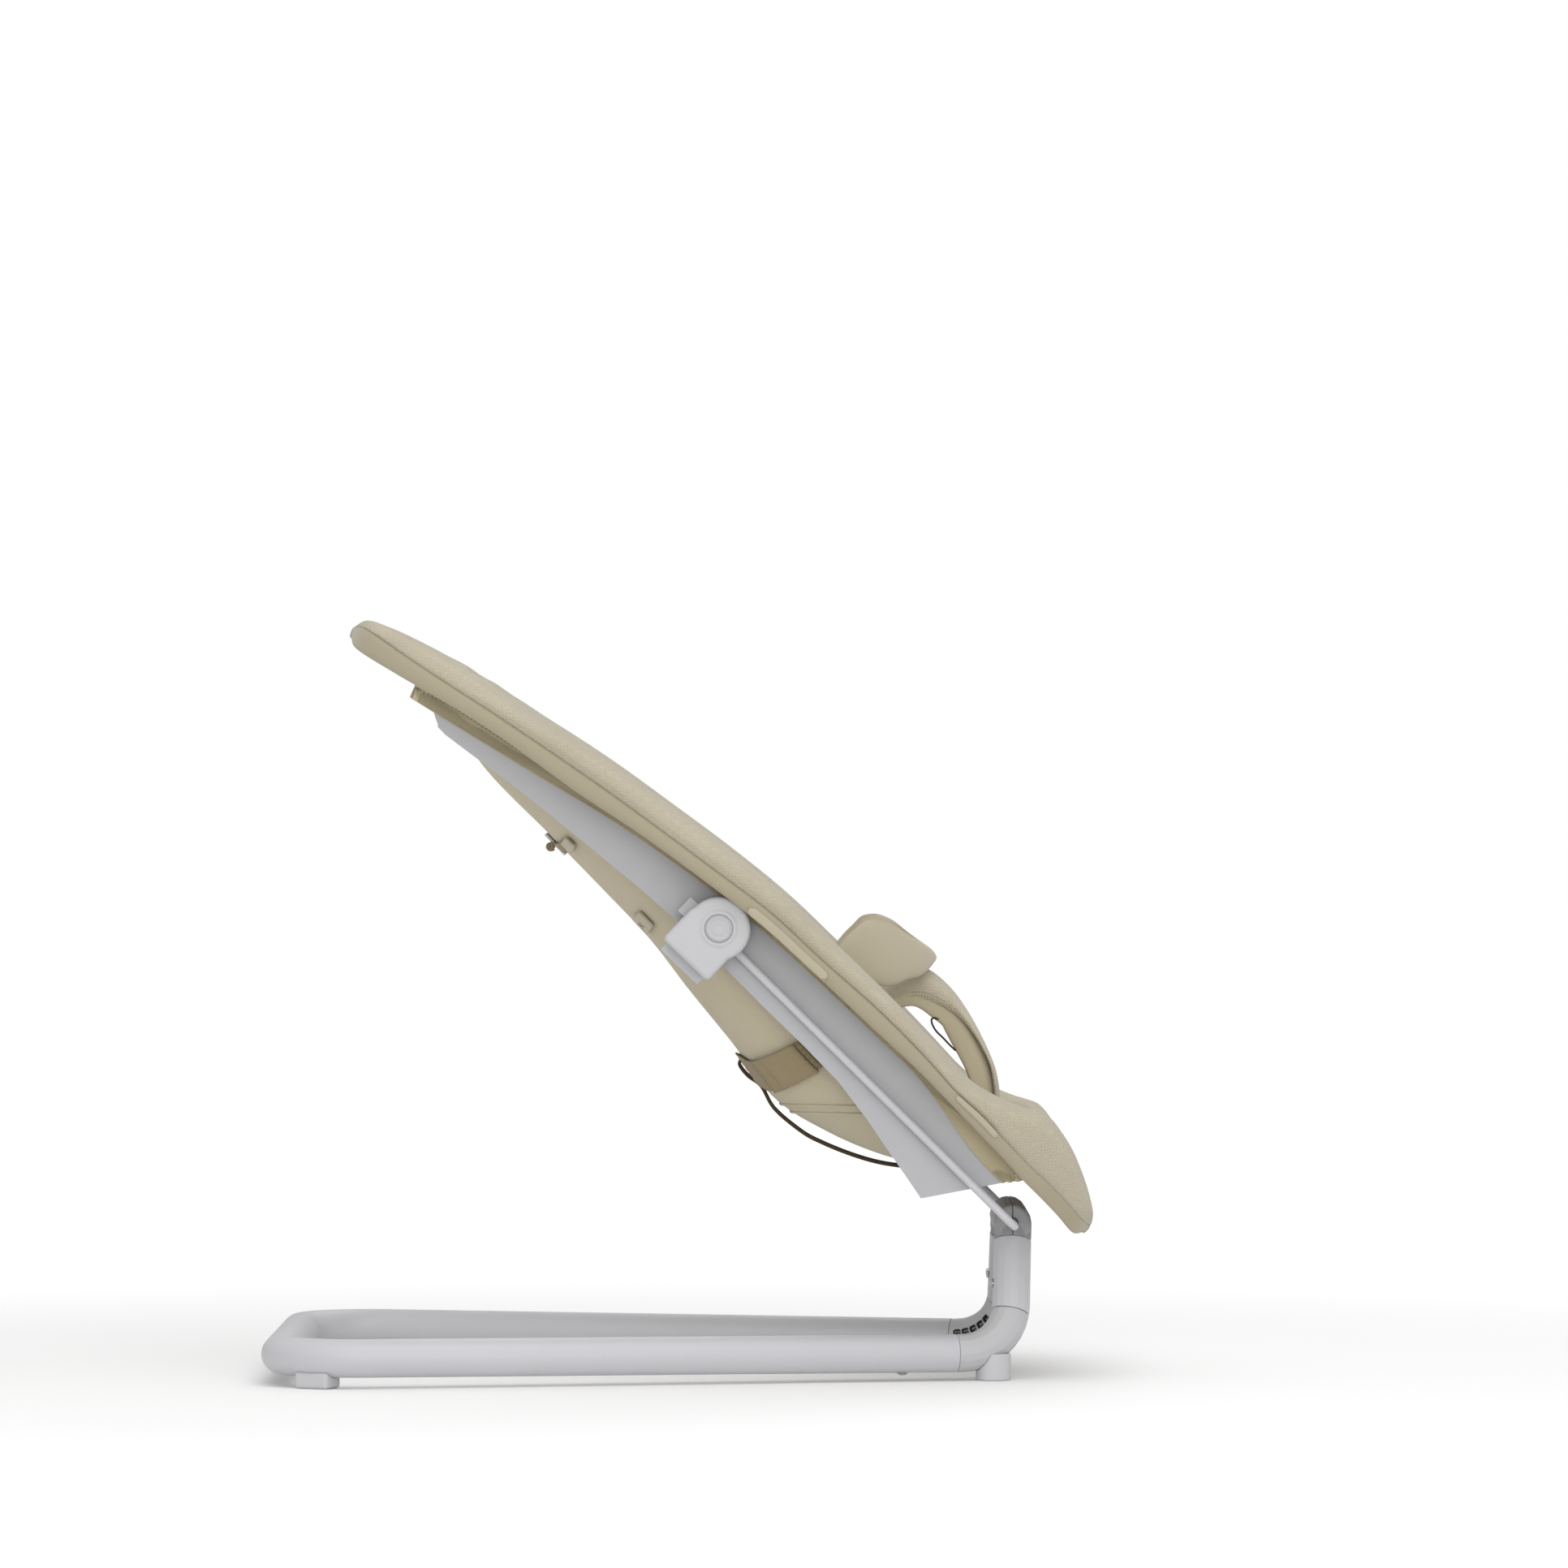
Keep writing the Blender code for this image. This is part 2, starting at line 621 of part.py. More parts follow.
def make_bridge():
    """Two shells that close round the wire and its bushes on a plane through the bridge's axis."""
    for name, facing in (("bridge_front_shell", 1), ("bridge_rear_shell", -1)):
        shell = bridge_body(name)
        ends = [Vector((BRIDGE.x, reach, BRIDGE.z)) for reach in (-0.1, 0.1)]
        cut(shell, cylinder("bridge_mouth", *ends, BRIDGE_MOUTH_R, 16))
        seats = [Vector((BRIDGE.x, reach * (BUSH_SPAN[1] + GAP), BRIDGE.z)) for reach in (-1, 1)]
        cut(shell, cylinder("bush_seat", *seats, BUSH_R + GAP, 16))
        hollow = [Vector((BRIDGE.x, reach * (BUSH_SPAN[0] - GAP), BRIDGE.z)) for reach in (-1, 1)]
        cut(shell, cylinder("bridge_hollow", *hollow, 0.0125, 16))
        away = BRIDGE.x - facing * (0.05 - GAP / 2)
        cut(shell, box("bridge_half", (away, 0, 0.12), (0.1, 0.3, 0.2)))
        for _, side in SIDES:
            place = bridge_screw_place(side)
            cut(shell, cylinder("screw_hole", place + Vector((-0.03, 0, 0)), place + Vector((0.0123, 0, 0)),
                                0.0016 + GAP, 12))
            cut(shell, cylinder("screw_head_hole", place + Vector((-0.03, 0, 0)), place + Vector((-0.0100, 0, 0)),
                                0.0034, 12))
        finish_part(shell, "grey_plastic")
    for label, side in SIDES:
        profile = [(0.0, 0.0), (0.0030, 0.0), (0.0030, -0.0025), (0.0016, -0.0025), (0.0016, -0.0215), (0.0, -0.0215)]
        screw = turned("bridge_screw_" + label, profile, bridge_screw_place(side) - Vector((0.0128, 0, 0)),
                       (-1, 0, 0), sides=12)
        finish_part(screw, "steel")
        near, far = BUSH_SPAN
        bush = cylinder("wire_bush_" + label, (BRIDGE.x, side * near, BRIDGE.z), (BRIDGE.x, side * far, BRIDGE.z),
                        BUSH_R, 16)
        cut(bush, cylinder("bush_bore", (BRIDGE.x, side * 0.05, BRIDGE.z), (BRIDGE.x, side * 0.09, BRIDGE.z),
                           WIRE_R + GAP, 16))
        finish_part(bush, "dark_plastic")


def bridge_screw_place(side):
    """In the solid of the stub, just above the seam and clear of the bush."""
    return Vector((BRIDGE.x, side * 0.0700, 0.1255))


# ---------------------------------------------------------------- hubs, wire and buttons
def hub_place(w, n, y):
    """World place of a point of the hub: w along the wire, n towards the hub's foot, y outwards."""
    cos, sin = math.cos(HUB_TILT), math.sin(HUB_TILT)
    return Vector((HUB.x + w * cos - n * sin, y, HUB.z - w * sin - n * cos))


def hub_outline(skirt):
    """The hub seen from the side: a round head and a block, and on the inner shell a narrower skirt."""
    start, end = math.radians(-29), math.radians(180)
    head = [start + (end - start) * index / 14 for index in range(15)]
    outline = [(HUB_HEAD_R * math.cos(angle), HUB_HEAD_R * math.sin(angle)) for angle in head]
    outline += [(-0.030, -0.006), (-0.030, -0.038), (-0.027, -0.041)]
    if skirt:
        outline += [(-0.025, -0.0415), (-0.0245, -0.0495), (0.0205, -0.0495), (0.021, -0.0415)]
    return outline + [(0.0225, -0.041), (0.0255, -0.038)]


def hub_plate(name, outline, span, side):
    """A plate between two distances out from the seat's middle, in the hub's own plane."""
    middle = side * (span[0] + span[1]) / 2
    return plate(name, outline, span[1] - span[0], (HUB.x, middle, HUB.z), (math.pi / 2, HUB_TILT, 0))


def hub_pin(name, w, n, span, side, radius, sides=24):
    """A cylinder across the hub between two distances out from the seat's middle."""
    return cylinder(name, hub_place(w, n, side * span[0]), hub_place(w, n, side * span[1]), radius, sides)


def wire_groove_outline():
    """Outline of the slot that the wire lies in, in the x-z plane: the wire's path, widened to each side."""
    foot = Vector((BRIDGE.x, 0, BRIDGE.z))
    corner = hub_place(0.012, 0.0039, 0)
    path = rounded_path((hub_place(0.012, 0.0345, 0), corner, foot), (0.009,), 4)[:-1]
    path.append(path[-1] + (foot - path[-1]).normalized() * 0.03)
    one_edge, other_edge = [], []
    for index, point in enumerate(path):
        ahead = (path[min(index + 1, len(path) - 1)] - path[max(index - 1, 0)]).normalized()
        sideways = Vector((-ahead.z, 0, ahead.x)) * (WIRE_R + 2 * GAP)
        one_edge.append(((point + sideways).x, (point + sideways).z))
        other_edge.append(((point - sideways).x, (point - sideways).z))
    return one_edge + other_edge[::-1]


HUB_SCREWS = (("upper", -0.0205, 0.026), ("lower", -0.0030, 0.034))


def make_hub(label, side, carrier):
    outer = hub_plate("hub_outer_" + label, hub_outline(False), HUB_OUTER, side)
    round_one_face(outer, -side, 0.0035)
    join(outer, hub_pin("cap_ring", 0, 0, (0.170, 0.1812), side, 0.0160))
    cut(outer, hub_pin("cap_recess", 0, 0, (0.1780, 0.19), side, CAP_R + GAP))
    cut(outer, hub_pin("hub_cavity", 0, 0, (0.150, 0.1615), side, HUB_CAVITY_R))
    slot = [(-0.045, 0.0036), (-0.0195, 0.0036), (-0.0195, -0.0149), (-0.045, -0.0149)]
    cut(outer, hub_plate("button_slot", slot, (0.1510, LATCH_Y[1] + 0.0006), side))
    inner = hub_plate("hub_inner_" + label, hub_outline(True), HUB_INNER, side)
    cut(inner, hub_pin("boss_bore", 0, 0, (0.14, 0.16), side, BOSS_R + GAP))
    groove = plate("wire_groove", wire_groove_outline(), HUB_INNER[1] - WIRE_Y + WIRE_R + 0.002,
                   (0, side * (WIRE_Y - WIRE_R - 2 * GAP + (HUB_INNER[1] - WIRE_Y + WIRE_R + 0.002) / 2), 0))
    cut(inner, groove)
    for spot, w, n in HUB_SCREWS:
        cut(outer, hub_pin("hub_screw_hole", w, n, (0.15, 0.1685), side, 0.0016 + GAP, 12))
        cut(inner, hub_pin("hub_screw_hole", w, n, (0.14, 0.16), side, 0.0016 + GAP, 12))
        cut(inner, hub_pin("hub_screw_head", w, n, (0.14, 0.1481), side, 0.0033, 12))
        profile = [(0.0, 0.0), (0.0030, 0.0), (0.0030, -0.0020), (0.0016, -0.0020), (0.0016, -0.0220), (0.0, -0.0220)]
        screw = turned("hub_screw_%s_%s" % (spot, label), profile, hub_place(w, n, side * 0.1458), (0, -side, 0), 12)
        finish_part(screw, "steel", carrier)
    finish_part(outer, "grey_plastic", carrier)
    finish_part(inner, "grey_plastic", carrier)
    profile = [(0.0, 0.0022), (CAP_R - 0.0004, 0.0022), (CAP_R, 0.0018), (CAP_R, 0.0), (0.0, 0.0)]
    cap = turned("hub_cap_" + label, profile, hub_place(0, 0, side * 0.1783), (0, side, 0), 24)
    finish_part(cap, "grey_plastic", carrier)


def make_wire(carrier):
    ends = [(hub_place(0.012, 0.034, side * WIRE_Y), hub_place(0.012, 0.0039, side * WIRE_Y),
             Vector((BRIDGE.x, side * WIRE_Y, BRIDGE.z))) for side in (LEFT, RIGHT)]
    points = [*ends[0], *reversed(ends[1])]
    path = rounded_path(points, (0.009, 0.012, 0.012, 0.009), 4)
    return finish_part(rod("spring_wire", path, WIRE_R, 8), "spring_steel", carrier)


def make_button(label, side, carrier):
    """A latch plate with a window round the index disc. Its tab sticks out behind the hub."""
    slide = empty("button_slide_" + label, hub_place(0, 0, side * LATCH_Y[0]), (0, HUB_TILT, 0), carrier)
    outline = [(-0.0375, 0.0030), (-0.0375, -0.0140), (-0.0195, -0.0140), (-0.0180, -0.0160), (0.0110, -0.0165),
               (0.0185, -0.0100), (0.0185, 0.0100), (0.0110, 0.0165), (-0.0200, 0.0165), (-0.0235, 0.0030)]
    button = hub_plate("release_button_" + label, outline, LATCH_Y, side)
    window = [(-0.0190, -0.0140), (0.0100, -0.0140), (0.0150, -0.0090), (0.0150, -0.0010), (0.0139, -0.0010),
              (0.0139, 0.0010), (0.0150, 0.0010), (0.0150, 0.0090), (0.0100, 0.0140), (-0.0190, 0.0140)]
    cut(button, hub_plate("button_window", window, (0.15, 0.17), side))
    finish_part(button, "grey_plastic", slide)
    turns, points_per_turn, radius = 3, 6, 0.0014
    points = []
    for index in range(turns * points_per_turn + 1):
        angle = 2 * math.pi * index / points_per_turn
        w = 0.0191 + 0.0055 * index / (turns * points_per_turn)
        points.append(hub_place(w, radius * math.cos(angle), side * (0.1575 + radius * math.sin(angle))))
    finish_part(rod("button_spring_" + label, points, 0.0003, 6), "steel", carrier)


# ---------------------------------------------------------------- seat frame
def make_panel(label, side, seat):
    top = []
    for index in range(13):
        where = 2.4 + (14.6 - 2.4) * index / 12
        _, _, band, _, _ = station(where)
        place = seat_point(where, 0, skin_depth(band) + 0.0022)
        top.append((place.x, place.z))
    outline = top + list(reversed(PANEL_FOOT)) + [tuple(point) for point in reversed(smooth_curve(PANEL_LOWER, 2))]
    panel = plate("side_panel_" + label, outline, PANEL_Y[1] - PANEL_Y[0], (0, side * sum(PANEL_Y) / 2, 0))
    cut(panel, hub_pin("pivot_hole", 0, 0, (0.12, 0.16), side, 0.0033, 16))
    for _, place, _ in hoop_ends(side):
        span = (Vector((0, side * 0.12, 0)), Vector((0, side * 0.16, 0)))
        cut(panel, cylinder("hoop_screw_hole", place + span[0], place + span[1], 0.0018, 12))
        head = (Vector((0, side * 0.1401, 0)), Vector((0, side * 0.16, 0)))
        cut(panel, cylinder("hoop_head_hole", place + head[0], place + head[1], 0.0036, 12))
    return finish_part(panel, "panel_paint", seat)


def make_pivot(label, side, seat):
    profile = [(0.0, LATCH_Y[1]), (INDEX_R, LATCH_Y[1]), (INDEX_R, LATCH_Y[0]), (BOSS_R, LATCH_Y[0]),
               (BOSS_R, PANEL_Y[1] + GAP), (0.0, PANEL_Y[1] + GAP)]
    index = turned("index_disc_" + label, profile, hub_place(0, 0, 0), (0, side, 0), 24)
    cut(index, hub_pin("bolt_hole", 0, 0, (0.13, 0.17), side, 0.0033, 16))
    for step in range(3):
        turn = -math.radians(10 * step)
        reach = INDEX_R + 0.0008
        centre = hub_place(reach * math.cos(turn), reach * math.sin(turn), side * sum(LATCH_Y) / 2)
        cut(index, box("index_notch", centre, (0.0034, 0.006, 0.0017), (0, HUB_TILT + turn, 0)))
    finish_part(index, "steel", seat)
    profile = [(0.0, 0.0), (0.0070, 0.0), (0.0075, -0.0006), (0.0075, -0.0024), (0.0030, -0.0024),
               (0.0030, -0.0240), (0.0, -0.0240)]
    bolt = turned("pivot_bolt_" + label, profile, hub_place(0, 0, side * (PANEL_Y[0] - 0.0027)), (0, -side, 0), 20)
    finish_part(bolt, "steel", seat)


def hoop_ends(side):
    """Where each hoop is screwed to a side panel: name, place in the x-z plane, station."""
    found = []
    for name, where in (("head", 2.75), ("foot", 13.6)):
        _, _, band, _, _ = station(where)
        place = seat_point(where, 0, skin_depth(band) + 0.0022 + HOOP_R)
        found.append((name, place, where))
    return found


def hoop_point(where, y):
    _, _, band, _, _ = station(where)
    return seat_point(where, y, skin_depth(band) + 0.0024 + HOOP_R)


def make_hoops(seat):
    routes = {"head_hoop": ((3.0, 1.0), (2.4, 0.97), (1.7, 0.86), (1.2, 0.55), (1.05, 0.0)),
              "foot_hoop": ((13.2, 1.0), (14.4, 0.99), (15.4, 0.94), (16.4, 0.78), (17.0, 0.45), (17.15, 0.0))}
    for name, route in routes.items():
        half = smooth_curve(route, 2)
        path = [hoop_point(where, HOOP_Y * share) for where, share in half]
        path += [Vector((point.x, -point.y, point.z)) for point in reversed(path[:-1])]
        hoop = rod(name, path, HOOP_R, 8)
        for _, side in SIDES:
            for spot, place, _ in hoop_ends(side):
                if name.startswith(spot):
                    reach = [place + Vector((0, side * y, 0)) for y in (0.1295, 0.15)]
                    cut(hoop, cylinder("hoop_hole", *reach, 0.0018, 12))
        finish_part(hoop, "painted_tube", seat)
    for label, side in SIDES:
        for spot, place, _ in hoop_ends(side):
            profile = [(0.0, 0.0), (0.0033, 0.0), (0.0033, -0.0018), (0.0015, -0.0018), (0.0015, -0.0120),
                       (0.0, -0.0120)]
            screw = turned("hoop_screw_%s_%s" % (spot, label), profile, place + Vector((0, side * 0.1423, 0)),
                           (0, side, 0), 12)
            finish_part(screw, "steel", seat)


# ---------------------------------------------------------------- soft parts
def cover_ring(where):
    """The cover's section: a crowned edge, a lip that grips the frame, and the well."""
    _, _, band, depth, half_width = station(where)
    flat = skin_depth(band)
    well = max(max(depth, flat) - WELL_THICKNESS, 0.1 * flat)
    top = [(0.0, well), (0.35, 0.93 * well), (0.58, 0.55 * well), (0.72, 0.15 * well), (0.85, 0.0),
           (0.95, 0.12 * band), (1.0, 0.45 * band), (0.985, band), (0.955, band), (0.94, flat)]
    half = [(share * half_width, deep) for share, deep in top] + underside(where)
    left = [seat_point(where, y, deep) for y, deep in half]
    right = [seat_point(where, -y, deep) for y, deep in reversed(half[1:-1])]
    return left + right


def make_cover(seat):
    rings = [cover_ring(index) for index in range(len(STATIONS))]
    return finish_part(loft("seat_cover", rings), "sand_fabric", seat)


def make_sling(seat):
    """The mesh skin under the well."""
    offset = 0.0032
    rows = []
    for where in range(4, 15):
        half = underside(where, offset)[1:]
        ys = [y for y, _ in half] + [-y for y, _ in reversed(half[:-1])]
        depths = [deep for _, deep in half] + [deep for _, deep in reversed(half[:-1])]
        rows.append([seat_point(where, y, deep) for y, deep in zip(ys, depths)])
    return finish_part(sheet("seat_sling", rows, SLING_THICKNESS), "mesh_fabric", seat)


def make_mesh_band(label, side, seat):
    top = []
    for index in range(13):
        where = 2.6 + (14.2 - 2.6) * index / 12
        _, _, band, _, _ = station(where)
        place = seat_point(where, 0, skin_depth(band) + 0.0040)
        top.append((place.x, place.z))
    outline = top + [tuple(point) for point in reversed(smooth_curve(MESH_LOWER, 2))]
    band = plate("mesh_band_" + label, outline, MESH_Y[1] - MESH_Y[0], (0, side * sum(MESH_Y) / 2, 0))
    return finish_part(band, "mesh_fabric", seat)


def make_straps(seat):
    rows = []
    for index in range(15):
        y = 0.112 * (index / 7 - 1)
        where = 9.4 + 0.42 * abs(y / 0.112) ** 1.5
        rows.append([sling_point(where + across, y, 0.0078) for across in (-0.25, 0.0, 0.25)])
    finish_part(sheet("cross_strap", rows, 0.0020), "webbing", seat)
    route = smooth_curve(((0.0700, 0.2530), (0.0840, 0.2330), (0.1092, 0.2150), (0.1518, 0.1955),
                          (0.2003, 0.1840), (0.2350, 0.1800)), 3)
    rows = [[Vector((x, y, z)) for y in (-0.0125, 0.0, 0.0125)] for x, z in route]
    finish_part(sheet("long_strap", rows, 0.0030), "webbing", seat)


def lying_on_sling(name, where, y, height, size, material_name, seat):
    """A small flat block on the back of the sling, turned to follow it."""
    before, after = (sling_point(where + step, y, height) for step in (-0.1, 0.1))
    right, left = (sling_point(where, y + step, height) for step in (-0.008, 0.008))
    heading = (after - before).normalized()
    outward = heading.cross(left - right).normalized()
    frame = Matrix((heading, outward.cross(heading), outward)).transposed().to_euler()
    finish_part(box(name, (before + after) / 2, size, frame, bevel=0.0008), material_name, seat)


def make_sling_trim(seat):
    """The slider with its rolled webbing end, and a fabric tab, on the back of the sling."""
    lying_on_sling("webbing_slider", SLIDER_STATION, 0.0, 0.0060, (0.025, 0.036, 0.0020), "grey_plastic", seat)
    middle = sling_point(SLIDER_STATION, 0, 0.0112)
    roll = cylinder("webbing_roll", middle - Vector((0, 0.0125, 0)), middle + Vector((0, 0.0125, 0)), 0.0038, 12)
    finish_part(roll, "webbing", seat)
    lying_on_sling("back_tab", TAB_STATION, TAB_Y, 0.0070, (0.022, 0.020, 0.0030), "sand_fabric", seat)


def make_harness(seat):
    plan = smooth_curve(((0.140, 0.100, 0.372), (0.168, 0.088, 0.386), (0.200, 0.062, 0.386), (0.222, 0.024, 0.378),
                         (0.2245, 0.0, 0.377)), 2)
    path = [Vector(point) for point in plan]
    path += [Vector((point.x, -point.y, point.z)) for point in reversed(path[:-1])]
    rings = []
    for index, point in enumerate(path):
        ahead = path[min(index + 1, len(path) - 1)] - path[max(index - 1, 0)]
        outward = Vector((ahead.y, -ahead.x, 0)).normalized()
        share = abs(point.y) / 0.100
        tall = 0.0120 + 0.0150 * math.sin(math.pi * min(share * 0.95 + 0.05, 1.0)) ** 0.7
        rings.append(pad_ring(point, Vector((0, 0, 1)), outward, tall, 0.0065, 12))
    finish_part(loft("harness_wings", rings), "sand_fabric", seat)
    route = smooth_curve(((0.205, 0.340), (0.226, 0.343), (0.244, 0.3255), (0.256, 0.3080), (0.2665, 0.2870),
                          (0.2740, 0.2640), (0.2780, 0.2360)), 2)
    rings = []
    for index, (x, z) in enumerate(route):
        x_ahead, z_ahead = route[min(index + 1, len(route) - 1)]
        x_back, z_back = route[max(index - 1, 0)]
        up = Vector((-(z_ahead - z_back), 0, x_ahead - x_back)).normalized()
        width = 0.044 - 0.012 * math.sin(math.pi * index / (len(route) - 1))
        rings.append(pad_ring(Vector((x, 0, z)), Vector((0, 1, 0)), up, width, 0.0095, 12))
    finish_part(loft("crotch_pad", rings), "sand_fabric", seat)
    loop = smooth_curve(((0.2290, 0.3215), (0.2262, 0.3205), (0.2265, 0.3165), (0.2300, 0.3100), (0.2360, 0.3040),
                         (0.2431, 0.2966)), 3)
    finish_part(rod("elastic_loop", [Vector((x, 0, z)) for x, z in loop], 0.0008, 6), "webbing", seat)


# ---------------------------------------------------------------- the whole seat
def build():
    bounce_axis = empty("bounce_axis", BRIDGE)
    recline_axis = empty("recline_axis", HUB, parent=bounce_axis)
    make_base_tube()
    make_bridge()
    for label, side in SIDES:
        make_elbow(label, side)
        make_post(label, side)
        make_feet(label, side)
        rivet("rail_rivet_" + label, rail_rivet_place(side), Vector((0, 0, -1)), "steel")
        rivet("post_rivet_" + label, post_rivet_place(side), Vector((-1, 0, 0)), "steel")
        make_hub(label, side, bounce_axis)
        make_button(label, side, bounce_axis)
        make_panel(label, side, recline_axis)
        make_pivot(label, side, recline_axis)
        make_mesh_band(label, side, recline_axis)
    make_wire(bounce_axis)
    make_hoops(recline_axis)
    make_cover(recline_axis)
    make_sling(recline_axis)
    make_straps(recline_axis)
    make_sling_trim(recline_axis)
    make_harness(recline_axis)


build()
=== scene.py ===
"""Looks of the bouncer seat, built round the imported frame. Metres, +Z up, +X to the foot end."""
import json
import math

import bmesh
import bpy
from mathutils import Matrix, Vector


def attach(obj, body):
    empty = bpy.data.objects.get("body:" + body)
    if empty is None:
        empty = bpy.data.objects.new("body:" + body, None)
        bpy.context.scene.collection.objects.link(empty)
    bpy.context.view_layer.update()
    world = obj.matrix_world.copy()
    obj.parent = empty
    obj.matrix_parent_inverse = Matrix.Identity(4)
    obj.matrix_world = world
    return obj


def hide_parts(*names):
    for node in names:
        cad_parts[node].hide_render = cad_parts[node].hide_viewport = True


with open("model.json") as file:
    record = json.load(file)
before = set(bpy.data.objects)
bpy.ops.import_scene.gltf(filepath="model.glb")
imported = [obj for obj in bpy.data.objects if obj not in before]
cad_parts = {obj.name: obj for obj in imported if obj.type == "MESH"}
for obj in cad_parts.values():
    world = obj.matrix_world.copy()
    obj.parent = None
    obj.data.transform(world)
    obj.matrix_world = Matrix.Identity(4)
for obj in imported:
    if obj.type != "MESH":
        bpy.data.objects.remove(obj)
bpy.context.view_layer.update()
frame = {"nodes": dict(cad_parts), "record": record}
NODES = frame["nodes"]
LEFT, RIGHT = 1, -1
SIDES = (("left", LEFT), ("right", RIGHT))

# ---------------- sizes shared with the frame
HUB = Vector((0.0353, 0.0, 0.4044))
HUB_TILT = math.radians(43.8)
BRIDGE = Vector((0.298, 0.0, 0.139))
TUBE_R = 0.017
WIRE_R = 0.0038
WIRE_Y = 0.150
REAR_CORNER = Vector((-0.354, 0.2381, 0.027))
REAR_CORNER_R = 0.065
RAIL_END = Vector((0.247, 0.1163, 0.0245))
BEND_CORNER = Vector((0.295, 0.1065, 0.0245))
BEND_R = 0.0488
POST_TOP = Vector((0.298, 0.0714, 0.123))
HUB_FACE = 0.1783
PANEL_FACE = 0.1425
CROSSING = 0.124
WELL_THICKNESS = 0.022
SEAT_SLOPE = math.radians(41)

# Seat stations, head to foot: rim top (x, z), foot of the side band (x, z), depth of the underside on the
# centre line, half-width, and depth of the piped seam below the rim.
STATIONS = (
    (-0.2915, 0.6760, -0.2950, 0.6650, 0.006, 0.070, 0.0030),
    (-0.2740, 0.6795, -0.2865, 0.6530, 0.018, 0.135, 0.0105),
    (-0.2350, 0.6620, -0.2500, 0.6305, 0.022, 0.168, 0.0180),
    (-0.1900, 0.6366, -0.2110, 0.6080, 0.026, 0.182, 0.0215),
    (-0.1420, 0.6043, -0.1630, 0.5785, 0.061, 0.187, 0.0205),
    (-0.0670, 0.5547, -0.0885, 0.5250, 0.082, 0.190, 0.0215),
    (-0.0120, 0.5150, -0.0340, 0.4890, 0.093, 0.190, 0.0215),
    (0.0436, 0.4737, 0.0215, 0.4485, 0.105, 0.190, 0.0215),
    (0.0950, 0.4320, 0.0720, 0.4095, 0.119, 0.190, 0.0195),
    (0.1413, 0.3880, 0.1190, 0.3670, 0.127, 0.190, 0.0185),
    (0.1860, 0.3445, 0.1645, 0.3240, 0.136, 0.189, 0.0155),
    (0.2270, 0.3020, 0.2070, 0.2845, 0.123, 0.187, 0.0145),
    (0.2580, 0.2693, 0.2390, 0.2520, 0.102, 0.184, 0.0160),
    (0.2840, 0.2534, 0.2620, 0.2280, 0.080, 0.180, 0.0220),
    (0.3065, 0.2440, 0.2860, 0.2030, 0.034, 0.175, 0.0340),
    (0.3280, 0.2377, 0.3055, 0.1816, 0.022, 0.169, 0.0475),
    (0.3470, 0.2144, 0.3220, 0.1650, 0.022, 0.160, 0.0420),
    (0.3610, 0.1840, 0.3370, 0.1490, 0.022, 0.145, 0.0290),
    (0.3700, 0.1540, 0.3510, 0.1330, 0.018, 0.120, 0.0150),
    (0.3710, 0.1400, 0.3620, 0.1310, 0.008, 0.070, 0.0050),
)
LAST_STATION = len(STATIONS) - 1
COVER_RINGS = 210

# Stations of the trim on the back of the sling, and where the sewn tab sits across it.
SLIDER_STATION = 5.10
TAB_STATION = 6.78
TAB_Y = -0.078

# How far the elbows' pockets are turned towards the floor.
POCKET_TILT = math.radians(33)

# Where the two stitch lines run on the ribbed band, as shares of its width.
RIB_SEAMS = (0.36, 0.47)

# Lower edge of the ribbed band on the side panel, head to foot (x, z).
MESH_LOWER = (
    (-0.2395, 0.6096), (-0.2180, 0.5960), (-0.1424, 0.5498), (-0.0507, 0.4942), (0.0295, 0.4372),
    (0.0843, 0.3931), (0.1700, 0.3130), (0.2158, 0.2675), (0.2613, 0.2046), (0.2870, 0.1780),
)


# ---------------- curves and points
def smooth_point(rows, where):
    """Value of a Catmull-Rom curve through rows of numbers, at a fractional row index."""
    last = len(rows) - 1
    where = min(max(where, 0.0), last - 1e-9)
    index = int(where)
    t = where - index
    near = [rows[min(max(index + step, 0), last)] for step in (-1, 0, 1, 2)]
    value = []
    for a, b, c, d in zip(*near):
        value.append(0.5 * (2 * b + (c - a) * t + (2 * a - 5 * b + 4 * c - d) * t * t
                            + (3 * b - a - 3 * c + d) * t ** 3))
    return value


def smooth_curve(rows, count):
    """A smooth curve through rows, as count evenly stepped values."""
    last = len(rows) - 1
    return [smooth_point(rows, last * index / (count - 1)) for index in range(count)]


def station(where):
    rim_x, rim_z, low_x, low_z, depth, half_width, seam = smooth_point(STATIONS, where)
    rim = Vector((rim_x, 0, rim_z))
    down = Vector((low_x, 0, low_z)) - rim
    return rim, down.normalized(), down.length, depth, half_width, seam


def seat_point(where, y, depth):
    rim, down = station(where)[:2]
    place = rim + down * depth
    return Vector((place.x, y, place.z))


def skin_depth(band):
    """Depth of the cover's underside where it lies over the frame."""
    return min(0.65 * band, 0.022)


def underside(where, offset=0.0):
    """The cover's underside at a station, as (y, depth) pairs from the well's mouth to the middle."""
    _, _, band, depth, half_width, _ = station(where)
    flat = skin_depth(band)
    mouth = min(CROSSING, 0.66 * half_width) + 0.6 * offset
    depth = max(depth, flat)
    drop = depth - flat
    return [(mouth, flat), (0.90 * mouth, flat + 0.55 * drop + offset),
            (0.60 * mouth, flat + 0.90 * drop + offset), (0.30 * mouth, flat + 0.98 * drop + offset),
            (0.0, depth + offset)]


